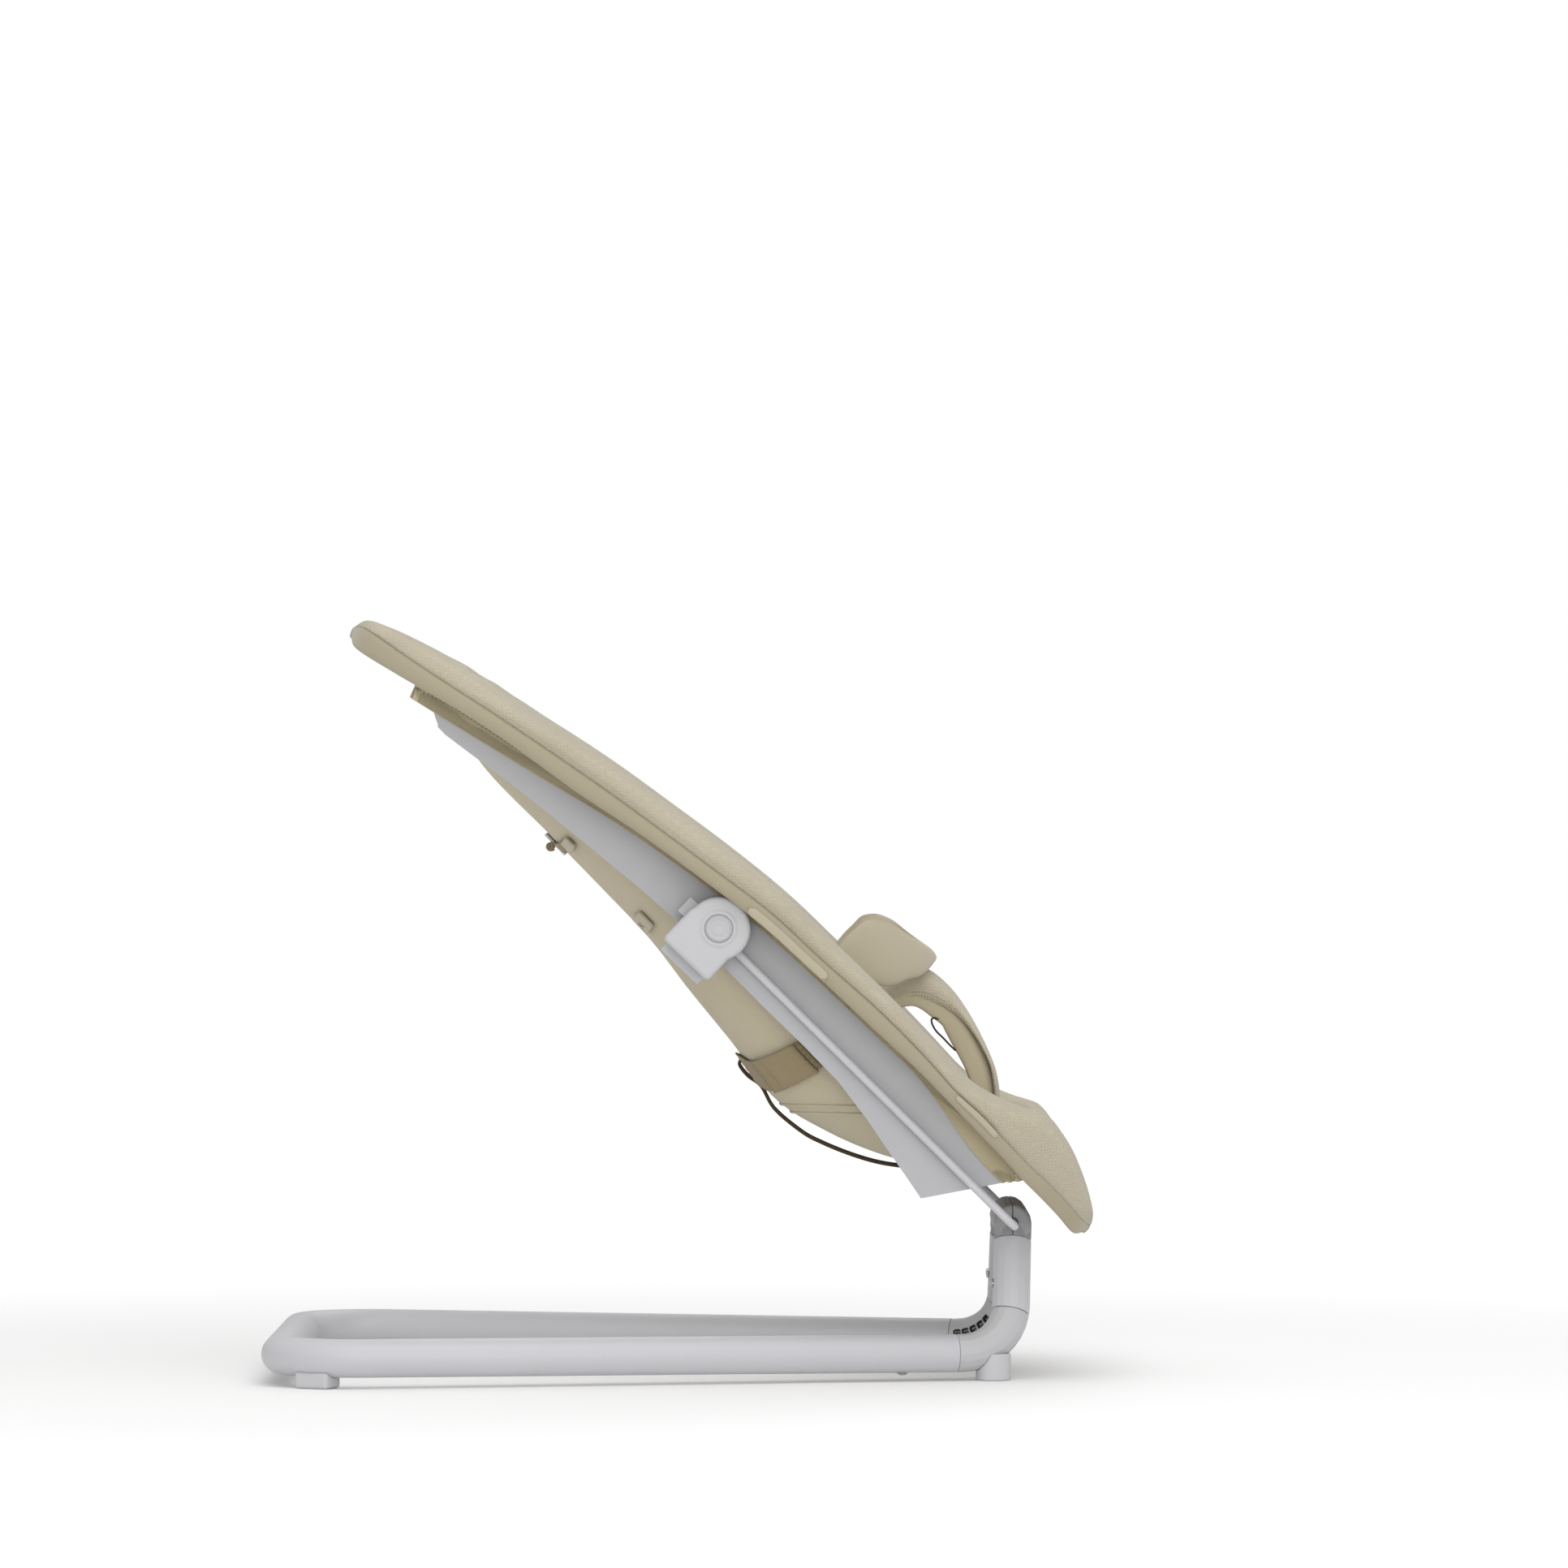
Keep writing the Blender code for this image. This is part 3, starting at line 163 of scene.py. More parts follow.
def sling_point(where, y, offset):
    """A point under the well, a little below the cover's underside."""
    line = list(reversed(underside(where, offset)))
    across = [(-line[1][0], line[1][1])] + line + [line[-1]]
    for index in range(1, len(across) - 2):
        inner, outer = across[index][0], across[index + 1][0]
        if abs(y) <= outer + 1e-9:
            depth = smooth_point([(row[1],) for row in across], index + (abs(y) - inner) / (outer - inner))[0]
            return seat_point(where, y, depth)
    return seat_point(where, y, across[-1][1])


def stations_along(count):
    """Positions along the seat from head to foot, closer together at both ends."""
    spread = [index / (count - 1) for index in range(count)]
    return [LAST_STATION * (t - 0.7 * math.sin(2 * math.pi * t) / (2 * math.pi)) for t in spread]


def end_directions():
    """Which way the seat's head end and foot end point."""
    head = (station(0)[0] - station(0.6)[0]).normalized()
    foot = (station(LAST_STATION)[0] - station(LAST_STATION - 0.5)[0]).normalized()
    return head, foot


def hub_place(w, n, y):
    """A point of the hub: w along the wire, n towards the hub's foot, y outwards."""
    cos, sin = math.cos(HUB_TILT), math.sin(HUB_TILT)
    return Vector((HUB.x + w * cos - n * sin, y, HUB.z - w * sin - n * cos))


def fillet(before, corner, after, radius, steps):
    """Points of the arc that rounds a corner."""
    first, second = (before - corner).normalized(), (after - corner).normalized()
    half = first.angle(second) / 2
    centre = corner + (first + second).normalized() * (radius / math.sin(half))
    start = corner + first * (radius / math.tan(half)) - centre
    axis = first.cross(second).normalized()
    turn = math.pi - 2 * half
    return [centre + Matrix.Rotation(-turn * index / steps, 3, axis) @ start for index in range(steps + 1)]


def rounded_path(points, radii, steps):
    path = [points[0]]
    for index, radius in enumerate(radii, start=1):
        path += fillet(points[index - 1], points[index], points[index + 1], radius, steps)
    return path + [points[-1]]


# ---------------- meshes
def add_object(name, data):
    made = bpy.data.objects.new(name, data)
    bpy.context.scene.collection.objects.link(made)
    return made


def finish_mesh(name, bm, smooth=True):
    bmesh.ops.recalc_face_normals(bm, faces=bm.faces[:])
    mesh = bpy.data.meshes.new(name)
    bm.to_mesh(mesh)
    bm.free()
    if smooth:
        mesh.shade_smooth()
    return add_object(name, mesh)


def skin(name, rings, closed=True, capped=True, looped=False):
    """A surface through rings of points. Closed joins each ring's ends, looped joins last ring and first."""
    bm = bmesh.new()
    rows = [[bm.verts.new(point) for point in ring] for ring in rings]
    count = len(rows[0])
    pairs = list(zip(rows, rows[1:])) + ([(rows[-1], rows[0])] if looped else [])
    for row, following in pairs:
        for index in range(count if closed else count - 1):
            after = (index + 1) % count
            bm.faces.new((row[index], row[after], following[after], following[index]))
    if closed and capped and not looped:
        bm.faces.new(rows[0])
        bm.faces.new(rows[-1])
    return finish_mesh(name, bm)


def thicken(piece, thickness):
    solid = piece.modifiers.new("thickness", "SOLIDIFY")
    solid.thickness = thickness
    solid.offset = 0.0


def soften(piece, levels):
    step = piece.modifiers.new("soft", "SUBSURF")
    step.levels = levels
    step.render_levels = levels


def tube(name, points, radius, sides=16, looped=False):
    """A round tube along points, whose section turns as little as it can."""
    points = [Vector(point) for point in points]
    count = len(points)
    tangents = []
    for index in range(count):
        if looped:
            ahead, back = points[(index + 1) % count], points[index - 1]
        else:
            ahead, back = points[min(index + 1, count - 1)], points[max(index - 1, 0)]
        tangents.append((ahead - back).normalized())
    side = tangents[0].orthogonal().normalized()
    rings = []
    for point, tangent in zip(points, tangents):
        side = (side - tangent * side.dot(tangent)).normalized()
        other = tangent.cross(side)
        turns = [2 * math.pi * k / sides for k in range(sides)]
        rings.append([point + (side * math.cos(turn) + other * math.sin(turn)) * radius for turn in turns])
    return skin(name, rings, looped=looped)


def oblong(centre, across, up, half_width, half_thickness, sides=20, sharpness=0.6):
    """A soft-cornered oblong section."""
    ring = []
    for index in range(sides):
        angle = 2 * math.pi * (index + 0.5) / sides
        x = math.copysign(abs(math.cos(angle)) ** sharpness, math.cos(angle))
        y = math.copysign(abs(math.sin(angle)) ** 0.8, math.sin(angle))
        ring.append(centre + across * (half_width * x) + up * (half_thickness * y))
    return ring


def stitches(name, points, up, length=0.0026, pitch=0.0040, radius=0.00032):
    """A row of thread stitches along points, each a short bar with a thick waist."""
    bm = bmesh.new()
    walked, target = 0.0, pitch / 2
    for start, end in zip(points, points[1:]):
        step = (end - start).length
        while walked + step > target:
            middle = start.lerp(end, (target - walked) / step)
            heading = (end - start).normalized()
            turn = Matrix((heading, up.cross(heading).normalized(), up)).transposed().to_4x4()
            place = Matrix.Translation(middle + up * radius * 0.4) @ turn
            made = bmesh.ops.create_uvsphere(bm, u_segments=8, v_segments=5, radius=1.0)
            scale = Matrix.Diagonal((length / 2, radius, radius, 1.0))
            bmesh.ops.transform(bm, matrix=place @ scale, verts=made["verts"])
            target += pitch
        walked += step
    return finish_mesh(name, bm)


def grid_points(rings, chosen):
    """Indices of the points of a skin whose row and column are chosen."""
    count = len(rings[0])
    return [row * count + column for row in range(len(rings)) for column in range(count)
            if chosen(row, column)]


def swell(piece, pinned, pressure, cap):
    """Puff a closed piece up with a short cloth simulation. Points only move outward, at most by a cap."""
    stiffness = 12.0
    last_step = 20
    scene = bpy.context.scene
    before = [(vertex.co.copy(), vertex.normal.copy()) for vertex in piece.data.vertices]
    piece.vertex_groups.new(name="held").add(list(pinned), 1.0, "REPLACE")
    cloth = piece.modifiers.new("swell", "CLOTH")
    cloth.point_cache.frame_start = 1
    cloth.point_cache.frame_end = last_step
    cloth.settings.vertex_group_mass = "held"
    cloth.settings.quality = 5
    cloth.settings.mass = 0.2
    cloth.settings.tension_stiffness = stiffness
    cloth.settings.compression_stiffness = stiffness
    cloth.settings.use_pressure = True
    cloth.settings.uniform_pressure_force = pressure
    cloth.settings.effector_weights.gravity = 0.0
    for step in range(1, last_step + 1):
        scene.frame_set(step)
    swollen = piece.evaluated_get(bpy.context.evaluated_depsgraph_get()).to_mesh()
    after = [vertex.co.copy() for vertex in swollen.vertices]
    piece.modifiers.remove(cloth)
    scene.frame_set(1)
    for vertex, (old, outward), new in zip(piece.data.vertices, before, after):
        vertex.co = old + outward * min(max((new - old).dot(outward), 0.0), cap)


# ---------------- materials
def object_place(tree):
    return add(tree, "TexCoord").outputs["Object"]


def surface(name, colour, roughness, sockets=()):
    made = bpy.data.materials.new(name)
    made.use_nodes = True
    shader = made.node_tree.nodes["Principled BSDF"]
    shader.inputs["Base Color"].default_value = (*colour, 1.0)
    shader.inputs["Roughness"].default_value = roughness
    for socket, value in sockets:
        shader.inputs[socket].default_value = value
    return made, made.node_tree, shader


def add(tree, kind, inputs=(), **settings):
    node = tree.nodes.new("ShaderNode" + kind)
    for name, value in settings.items():
        setattr(node, name, value)
    for socket, value in inputs:
        if isinstance(value, bpy.types.NodeSocket):
            tree.links.new(value, node.inputs[socket])
        else:
            node.inputs[socket].default_value = value
    return node


def maths(tree, operation, first, second=0.0):
    return add(tree, "Math", ((0, first), (1, second)), operation=operation).outputs[0]


def knit_dots(tree, period):
    """Dots of a knit, from 0 to 1, laid on whichever way the cloth faces, so they need no unwrapping."""
    coords = add(tree, "TexCoord").outputs
    turn = ("Rotation", (0, SEAT_SLOPE, 0))
    place = add(tree, "Mapping", (("Vector", coords["Object"]), turn), vector_type="VECTOR").outputs[0]
    facing = add(tree, "Mapping", (("Vector", coords["Normal"]), turn), vector_type="VECTOR").outputs[0]
    tempo = ("Scale", 2 * math.pi / period)
    scaled = add(tree, "VectorMath", ((0, place), tempo), operation="SCALE").outputs[0]
    waves = [maths(tree, "SINE", axis) for axis in add(tree, "SeparateXYZ", ((0, scaled),)).outputs]
    steep = add(tree, "VectorMath", ((0, facing),), operation="ABSOLUTE").outputs[0]
    weights = [maths(tree, "POWER", axis, 6.0) for axis in add(tree, "SeparateXYZ", ((0, steep),)).outputs]
    total, shares = None, None
    for index, weight in enumerate(weights):
        dots = maths(tree, "MULTIPLY", waves[index - 1], waves[index - 2])
        part = maths(tree, "MULTIPLY", dots, weight)
        total = part if total is None else maths(tree, "ADD", total, part)
        shares = weight if shares is None else maths(tree, "ADD", shares, weight)
    even = maths(tree, "DIVIDE", total, maths(tree, "ADD", shares, 0.0001))
    return add(tree, "MapRange", ((0, even), (1, -1.0), (2, 1.0), (3, 0.0), (4, 1.0))).outputs[0]


def tone(tree, place, scale, detail=3.0):
    return add(tree, "TexNoise", (("Vector", place), ("Scale", scale), ("Detail", detail))).outputs["Fac"]


def mix(tree, share, first, second):
    node = add(tree, "Mix", (("Factor", share),), data_type="RGBA")
    node.inputs[6].default_value = (*first, 1.0)
    node.inputs[7].default_value = (*second, 1.0)
    return node.outputs[2]


def relief(tree, shader, height, distance):
    bump = add(tree, "Bump", (("Height", height), ("Distance", distance), ("Strength", 1.0)))
    tree.links.new(bump.outputs[0], shader.inputs["Normal"])


def cloth_material(name, light, dark, period, distance, sheen=0.25):
    """Knit or woven cloth: stitches through space, darker between them, and a slow drift of tone."""
    made, tree, shader = surface(name, light, 0.92, (("Sheen Weight", sheen), ("Sheen Roughness", 0.5)))
    place = object_place(tree)
    weave = knit_dots(tree, period)
    drift = tone(tree, place, 9.0)
    share = maths(tree, "MULTIPLY", weave, 0.75)
    share = maths(tree, "ADD", share, maths(tree, "MULTIPLY", drift, 0.5))
    tree.links.new(mix(tree, share, dark, light), shader.inputs["Base Color"])
    fuzz = maths(tree, "MULTIPLY", tone(tree, place, 1400.0, 2.0), 0.35)
    relief(tree, shader, maths(tree, "ADD", weave, fuzz), distance)
    return made


def moulded_material(name, light, dark, roughness, grain=1500.0, distance=0.00004):
    """Moulded or painted surface: faint drift of tone, fine grain and uneven gloss."""
    made, tree, shader = surface(name, light, roughness)
    place = object_place(tree)
    tree.links.new(mix(tree, tone(tree, place, 14.0), dark, light), shader.inputs["Base Color"])
    gloss = add(tree, "MapRange", ((0, tone(tree, place, 60.0)), (1, 0.3), (2, 0.7),
                                   (3, roughness - 0.05), (4, roughness + 0.06)))
    tree.links.new(gloss.outputs[0], shader.inputs["Roughness"])
    relief(tree, shader, tone(tree, place, grain, 2.0), distance)
    return made


def steel_material(name, colour, roughness):
    made, tree, shader = surface(name, colour, roughness, (("Metallic", 1.0),))
    place = object_place(tree)
    streaks = add(tree, "Mapping", (("Vector", place), ("Scale", (40.0, 400.0, 400.0))))
    lines = tone(tree, streaks.outputs[0], 6.0)
    gloss = add(tree, "MapRange", ((0, lines), (1, 0.3), (2, 0.7),
                                   (3, roughness - 0.08), (4, roughness + 0.1)))
    tree.links.new(gloss.outputs[0], shader.inputs["Roughness"])
    relief(tree, shader, lines, 0.00003)
    return made


KNIT = cloth_material("sand_knit", (0.55, 0.495, 0.378), (0.33, 0.288, 0.20), 0.0023, 0.00060)
PLAIN = cloth_material("sand_plain_weave", (0.45, 0.40, 0.295), (0.40, 0.355, 0.255), 0.0010, 0.00008)
BAND = cloth_material("sand_band", (0.365, 0.32, 0.225), (0.335, 0.29, 0.20), 0.0012, 0.00008)
MESH = cloth_material("sand_mesh", (0.52, 0.465, 0.335), (0.43, 0.38, 0.265), 0.0016, 0.00020, 0.1)
RIBBED = cloth_material("ribbed_elastic", (0.60, 0.525, 0.35), (0.40, 0.345, 0.22), 0.0018, 0.00020, 0.1)
LINING = cloth_material("lining", (0.46, 0.405, 0.285), (0.41, 0.36, 0.25), 0.0011, 0.00008)
WEBBING = cloth_material("brown_webbing", (0.31, 0.245, 0.14), (0.23, 0.18, 0.097), 0.0014, 0.00025, 0.1)
# Darker copy of the brown webbing for the long strap, which is seen edge-on: painted shade.
WEBBING_PAINTED_SHADE = cloth_material("webbing_painted_shade", (0.085, 0.055, 0.025), (0.045, 0.028, 0.012),
                              0.0012, 0.0002, 0.1)
THREAD = cloth_material("thread", (0.30, 0.26, 0.165), (0.24, 0.20, 0.125), 0.0006, 0.00008, 0.2)
# Dark thread for real stitches, and also the colour of the cord in the cover's seam groove, which is painted
# shade in the crease.
THREAD_AND_CREASE_SHADE = cloth_material("dark_thread_and_crease_shade", (0.16, 0.13, 0.08), (0.11, 0.09, 0.055), 0.0008, 0.00008, 0.1)
ELASTIC = cloth_material("brown_elastic", (0.055, 0.035, 0.016), (0.035, 0.022, 0.010), 0.0008, 0.0001, 0.1)
PAINT = moulded_material("light_grey_paint", (0.545, 0.54, 0.565), (0.52, 0.515, 0.54), 0.42)
PLASTIC = moulded_material("light_grey_plastic", (0.50, 0.50, 0.512), (0.475, 0.475, 0.488),
                           0.48, 2200.0, 0.00005)
PANEL = moulded_material("panel_plastic", (0.435, 0.435, 0.45), (0.415, 0.415, 0.43), 0.50, 1800.0, 0.00003)
# Darker copy of the light grey plastic for the bridge shells: painted shade of the seat above them.
BRIDGE_PAINTED_SHADE = moulded_material("grey_plastic_painted_shade", (0.30, 0.30, 0.31), (0.28, 0.28, 0.29),
                                0.50, 2200.0, 0.00005)
# Dark plastic for the frame's dark parts, also laid in the elbows' pockets as painted shade.
DARK_PLASTIC_AND_POCKET_SHADE = moulded_material("dark_plastic", (0.035, 0.035, 0.038), (0.025, 0.025, 0.028), 0.55)
FOOT = moulded_material("grey_rubber", (0.55, 0.55, 0.565), (0.52, 0.52, 0.535), 0.75, 1200.0, 0.00006)
STEEL = steel_material("zinc_steel", (0.55, 0.55, 0.56), 0.34)


def dress(piece, material, body="seat", replaces=()):
    """Give a piece its material, its body and the frame nodes that it stands for."""
    piece.data.materials.append(material)
    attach(piece, body)
    if replaces:
        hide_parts(*replaces)


# ---------------- the seat cover
# Points of the cover's section from its middle to the seam, and how many next to the seam stay put.
SECTION_POINTS = 34
SEAM_POINTS = 5


def leg_crease(where, depth):
    """Depth of the fold where the cover bends down to the leg rest."""
    run = min(max((depth - 0.010) / 0.028, 0.0), 1.0)
    middle = 14.0 + 0.75 * run
    return 0.0022 * math.exp(-((where - middle) / 0.085) ** 2) * math.sin(math.pi * min(0.15 + run, 0.9))


def pad_section(where, inset):
    """The cover's section at a station: over the crown and the well from seam to seam, then the underside."""
    _, _, band, depth, half_width, seam = station(where)
    flat = skin_depth(band)
    well = max(max(depth, flat) - WELL_THICKNESS, 0.1 * flat)
    controls = [(0.0, well), (0.20, 0.98 * well), (0.38, 0.86 * well), (0.55, 0.55 * well),
                (0.68, 0.20 * well), (0.78, 0.03 * well), (0.86, 0.0), (0.94, 0.10 * seam),
                (0.983, 0.34 * seam), (1.001, 0.66 * seam), (1.001, 0.86 * seam), (0.988, seam)]
    top = []
    for share, deep in smooth_curve(controls, SECTION_POINTS):
        crease = leg_crease(where, deep) * max(0.0, min(1.0, (share - 0.80) / 0.12))
        sunk = inset * max(0.0, 1 - (deep / seam) ** 2)
        top.append((share * half_width - crease, deep + sunk + 0.4 * crease))
    under = [(0.978 * half_width, seam + 0.0012), (0.955 * half_width, max(flat, 0.5 * (seam + flat))),
             (0.940 * half_width, flat)] + underside(where, -0.0015)
    left = [seat_point(where, y, deep) for y, deep in reversed(top)]
    right = [seat_point(where, -y, deep) for y, deep in top[1:]]
    below = [seat_point(where, -y, deep) for y, deep in under]
    back = [seat_point(where, y, deep) for y, deep in reversed(under[:-1])]
    return left + right + below + back


def nose_rings(ring, outward):
    """Two shrinking rings that close an end of the cover with a round nose."""
    centre = sum(ring, Vector()) / len(ring)
    return [[centre + (point - centre) * share + outward * reach for point in ring]
            for share, reach in ((0.93, 0.0012), (0.70, 0.0022))]


def make_cover():
    """The padded cover with its crowned rim. Its top starts a little low, as the simulation puffs it up."""
    rings = [pad_section(where, 0.0016) for where in stations_along(COVER_RINGS)]
    head_out, foot_out = end_directions()
    head_nose = nose_rings(rings[0], head_out)
    foot_nose = nose_rings(rings[-1], foot_out)
    rings = [head_nose[1], head_nose[0], *rings, *foot_nose]
    pad = skin("cover_pad", rings)
    columns = range(SEAM_POINTS, 2 * SECTION_POINTS - 1 - SEAM_POINTS)
    rows = range(2, len(rings) - 2)
    held = grid_points(rings, lambda row, column: column not in columns or row not in rows)
    swell(pad, held, 3.0, 0.0024)
    soften(pad, 1)
    dress(pad, KNIT, replaces=("seat_cover",))


def loop_round(share, depth_of, bulge):
    """A closed line round the cover: down the left side, round the foot, up the right, round the head."""
    places = stations_along(COVER_RINGS)
    left = [seat_point(where, share * station(where)[4], depth_of(where)) for where in places]
    head_out, foot_out = end_directions()

    def round_end(point, outward):
        turned = []
        for index in range(1, 16):
            angle = math.pi * index / 16
            swing = Vector((point.x, point.y * math.cos(angle), point.z))
            turned.append(swing + outward * bulge * math.sin(angle) ** 0.7)
        return turned

    right = [Vector((point.x, -point.y, point.z)) for point in reversed(left)]
    foot = round_end(left[-1], foot_out)
    head = [Vector((point.x, -point.y, point.z)) for point in round_end(left[0], head_out)]
    return left + foot + right + head


def seam_depth(where):
    return station(where)[5]


def band_depth(share):
    """Depth on the side band: 0 at the piped seam, 1 at its lower edge."""
    def depth(where):
        _, _, band, _, _, seam = station(where)
        return seam + (band - seam) * share
    return depth


def make_side_band():
    """The smooth band that wraps under the rim, with a turned-in hem."""
    lines = [(0.984, 0.010, 0.0016), (0.994, 0.045, 0.0028), (1.003, 0.14, 0.0038), (1.007, 0.34, 0.0042),
             (1.007, 0.62, 0.0042), (1.003, 0.84, 0.0036), (0.994, 0.97, 0.0026), (0.978, 1.02, 0.0014),
             (0.962, 0.98, 0.0004), (0.950, 0.86, -0.0006)]
    loops = [loop_round(share, band_depth(deep), bulge) for share, deep, bulge in lines]
    rings = [list(ring) for ring in zip(*loops)]
    band = skin("cover_side_band", rings, closed=False, looped=True)
    thicken(band, 0.0012)
    dress(band, BAND)
    # A thin dark cord at the bottom of the seam groove: painted shade in the crease.
    cord = tube("cover_seam_crease_shade", loop_round(0.988, lambda where: seam_depth(where) + 0.0005, 0.0022), 0.0007, 8,
                looped=True)
    dress(cord, THREAD_AND_CREASE_SHADE)


def make_flaps():
    """Two fastening flaps on each side of the side band."""
    spans = (("upper", (7.75, 9.20), (0.42, 1.04), (0.012, 0.092), 0.00072),
             ("lower", (12.05, 13.60), (0.03, 0.44), (0.010, 0.050), 0.00026))
    for label, side in SIDES:
        for spot, (first, last), (near, far), cut, area in spans:
            rows = []
            for index in range(41):
                t = index / 40
                where = first + (last - first) * t
                _, _, band, _, half_width, seam = station(where)
                narrow = 1.0 - 0.75 * max(0.0, (abs(t - 0.5) - 0.44) / 0.06) ** 2
                middle, reach = (near + far) / 2, (far - near) / 2 * narrow
                row = []
                for k in range(9):
                    share = middle + reach * (k / 4 - 1)
                    deep = seam + (band - seam) * share
                    crown = 0.0006 * (1 - (k / 4 - 1) ** 2)
                    row.append(seat_point(where, side * (half_width * 1.008 + 0.0008 + crown), deep))
                rows.append(row)
            flap = skin("cover_flap_%s_%s" % (spot, label), rows, closed=False)
            thicken(flap, 0.0018)
            dress(flap, PLAIN)


# ---------------- ribbed bands on the panels
def make_ribbed_bands():
    """Ribbed elastic between the cover and each side panel, double-stitched, and gathered at its foot."""
    columns = 1040
    top = [(-0.2350, 0.6205)]
    for index in range(1, 13):
        where = 2.4 + (14.6 - 2.4) * index / 12
        place = seat_point(where, 0, skin_depth(station(where)[2]) + 0.0030)
        top.append((place.x, place.z))
    top = smooth_curve(top + [(0.3085, 0.1800)], columns)
    low = smooth_curve(MESH_LOWER, columns)
    for label, side in SIDES:
        rows = []
        for index, (upper, lower) in enumerate(zip(top, low)):
            along = index / (columns - 1)
            rib = 0.00030 * math.cos(index * math.pi / 1.5)
            gather = min(1.0, max(0.0, (along - 0.955) / 0.045))
            curl = min(1.0, max(0.0, (0.012 - along) / 0.012))
            row = []
            for k in range(21):
                share = k / 20
                seam = 0.0006 * sum(math.exp(-((share - spot) / 0.03) ** 2) for spot in RIB_SEAMS)
                edge = 0.0006 * math.exp(-((share - 1.0) / 0.03) ** 2)
                ripple = 0.0003 * math.sin(index * 0.055 + 3 * share)
                fold = gather * 0.0007 * math.cos(share * 6 * math.pi) + curl * 0.0010
                height = 0.0013 + rib * (1.0 if share > 0.5 else 0.4) + ripple - seam + edge + fold
                scallop = -gather * 0.0004 * math.cos(share * 6 * math.pi)
                row.append(Vector((upper[0] + (lower[0] - upper[0]) * share, side * (PANEL_FACE + height),
                                   upper[1] + (lower[1] - upper[1]) * share + scallop)))
            rows.append(row)
        band = skin("ribbed_band_" + label, rows, closed=False)
        thicken(band, 0.0007)
        dress(band, RIBBED, "seat", ("mesh_band_" + label,))
        for spot in RIB_SEAMS:
            y = side * (PANEL_FACE + 0.0016)
            line = [Vector((a[0] + (b[0] - a[0]) * spot, y, a[1] + (b[1] - a[1]) * spot))
                    for a, b in zip(top[::8], low[::8])]
            thread = stitches("ribbed_stitch_%s_%02d" % (label, int(spot * 100)), line, Vector((0, side, 0)))
            dress(thread, THREAD_AND_CREASE_SHADE)
        fold = []
        for index in range(13):
            t = index / 12
            corner = Vector((-0.2345, 0, 0.6185)).lerp(Vector((-0.2300, 0, 0.6157)), t)
            rise = 0.0022 * math.sin(math.pi * min(1.0, 0.25 + t))
            heights = [PANEL_FACE + 0.0022 + rise * math.sin(math.pi * k / 5) for k in range(6)]
            fold.append([corner + Vector((-0.00055 * k, side * height, -0.002125 * k))
                         for k, height in enumerate(heights)])
        turned = skin("ribbed_fold_" + label, fold, closed=False)
        thicken(turned, 0.0008)
        dress(turned, RIBBED)


# ---------------- sling, straps and trim
def sling_where(height, y, offset):
    """Station at which the sling is at a height, at a distance from the middle."""
    low, high = 7.0, 12.0
    for _ in range(30):
        middle = (low + high) / 2
        if sling_point(middle, y, offset).z > height:
            low = middle
        else:
            high = middle
    return (low + high) / 2


def make_sling():
    rows = []
    for index in range(101):
        where = 3.85 + (14.0 - 3.85) * index / 100
        edge = underside(where, 0.0032)[0][0] * 0.97
        rows.append([sling_point(where, edge * (k / 14 - 1), 0.0032) for k in range(29)])
    sling = skin("sling_mesh", rows, closed=False)
    thicken(sling, 0.0012)
    dress(sling, MESH, "seat", ("seat_sling",))
    for label, height in (("upper", 0.2432), ("lower", 0.2362)):
        line = []
        for index in range(61):
            y = 0.112 * (index / 30 - 1)
            target = height + 0.0015 * (abs(y) / 0.112)
            line.append(sling_point(sling_where(target, y, 0.0040), y, 0.0042))
        dress(tube("sling_piping_" + label, line, 0.0013, 10), MESH)


def strap_station(y):
    """Station of the cross strap's middle, at a distance from the seat's middle."""
    return 9.4 + 0.42 * abs(y / 0.112) ** 1.5


def make_straps():
    def strip(first, last, reach, offset, count):
        rows = []
        for index in range(count):
            y = first + (last - first) * index / (count - 1)
            where = strap_station(y)
            rows.append([sling_point(where + reach * (k / 6 - 1), y, offset + 0.0003 * math.cos(k * math.pi))
                         for k in range(13)])
        return rows

    strap = skin("cross_webbing", strip(-0.116, 0.116, 0.26, 0.0066, 71), closed=False)
    thicken(strap, 0.0016)
    dress(strap, WEBBING, "seat", ("cross_strap",))
    for label, side in SIDES:
        rows = strip(side * 0.076, side * 0.116, 0.28, 0.0088, 15)
        lap = skin("cross_webbing_end_" + label, rows, closed=False)
        thicken(lap, 0.0016)
        dress(lap, WEBBING)
        for index, y in enumerate((0.079, 0.089)):
            line = [sling_point(strap_station(y) + 0.25 * (k / 8 - 1), side * y, 0.0100) for k in range(17)]
            up = Vector((-0.4, side * 0.7, -0.6)).normalized()
            thread = stitches("cross_stitch_%s_%d" % (label, index), line, up, 0.0022, 0.0034)
            dress(thread, THREAD)
    route = smooth_curve(((0.0560, 0.2835), (0.0526, 0.2789), (0.0603, 0.2686), (0.0724, 0.2591),
                          (0.0846, 0.2385), (0.1092, 0.2179), (0.1275, 0.2080), (0.1518, 0.1981),
                          (0.1761, 0.1907), (0.2003, 0.1867), (0.2350, 0.1835), (0.2620, 0.1835)), 90)
    rows = []
    for x, z in route:
        rows.append([Vector((x, 0.0125 * (k / 5 - 1), z + 0.0002 * math.cos(k * math.pi)))
                     for k in range(11)])
    long_strap = skin("long_webbing", rows, closed=False)
    thicken(long_strap, 0.0028)
    # The long strap takes the darker webbing copy: painted shade on its edge-on side.
    dress(long_strap, WEBBING_PAINTED_SHADE, "seat", ("long_strap",))


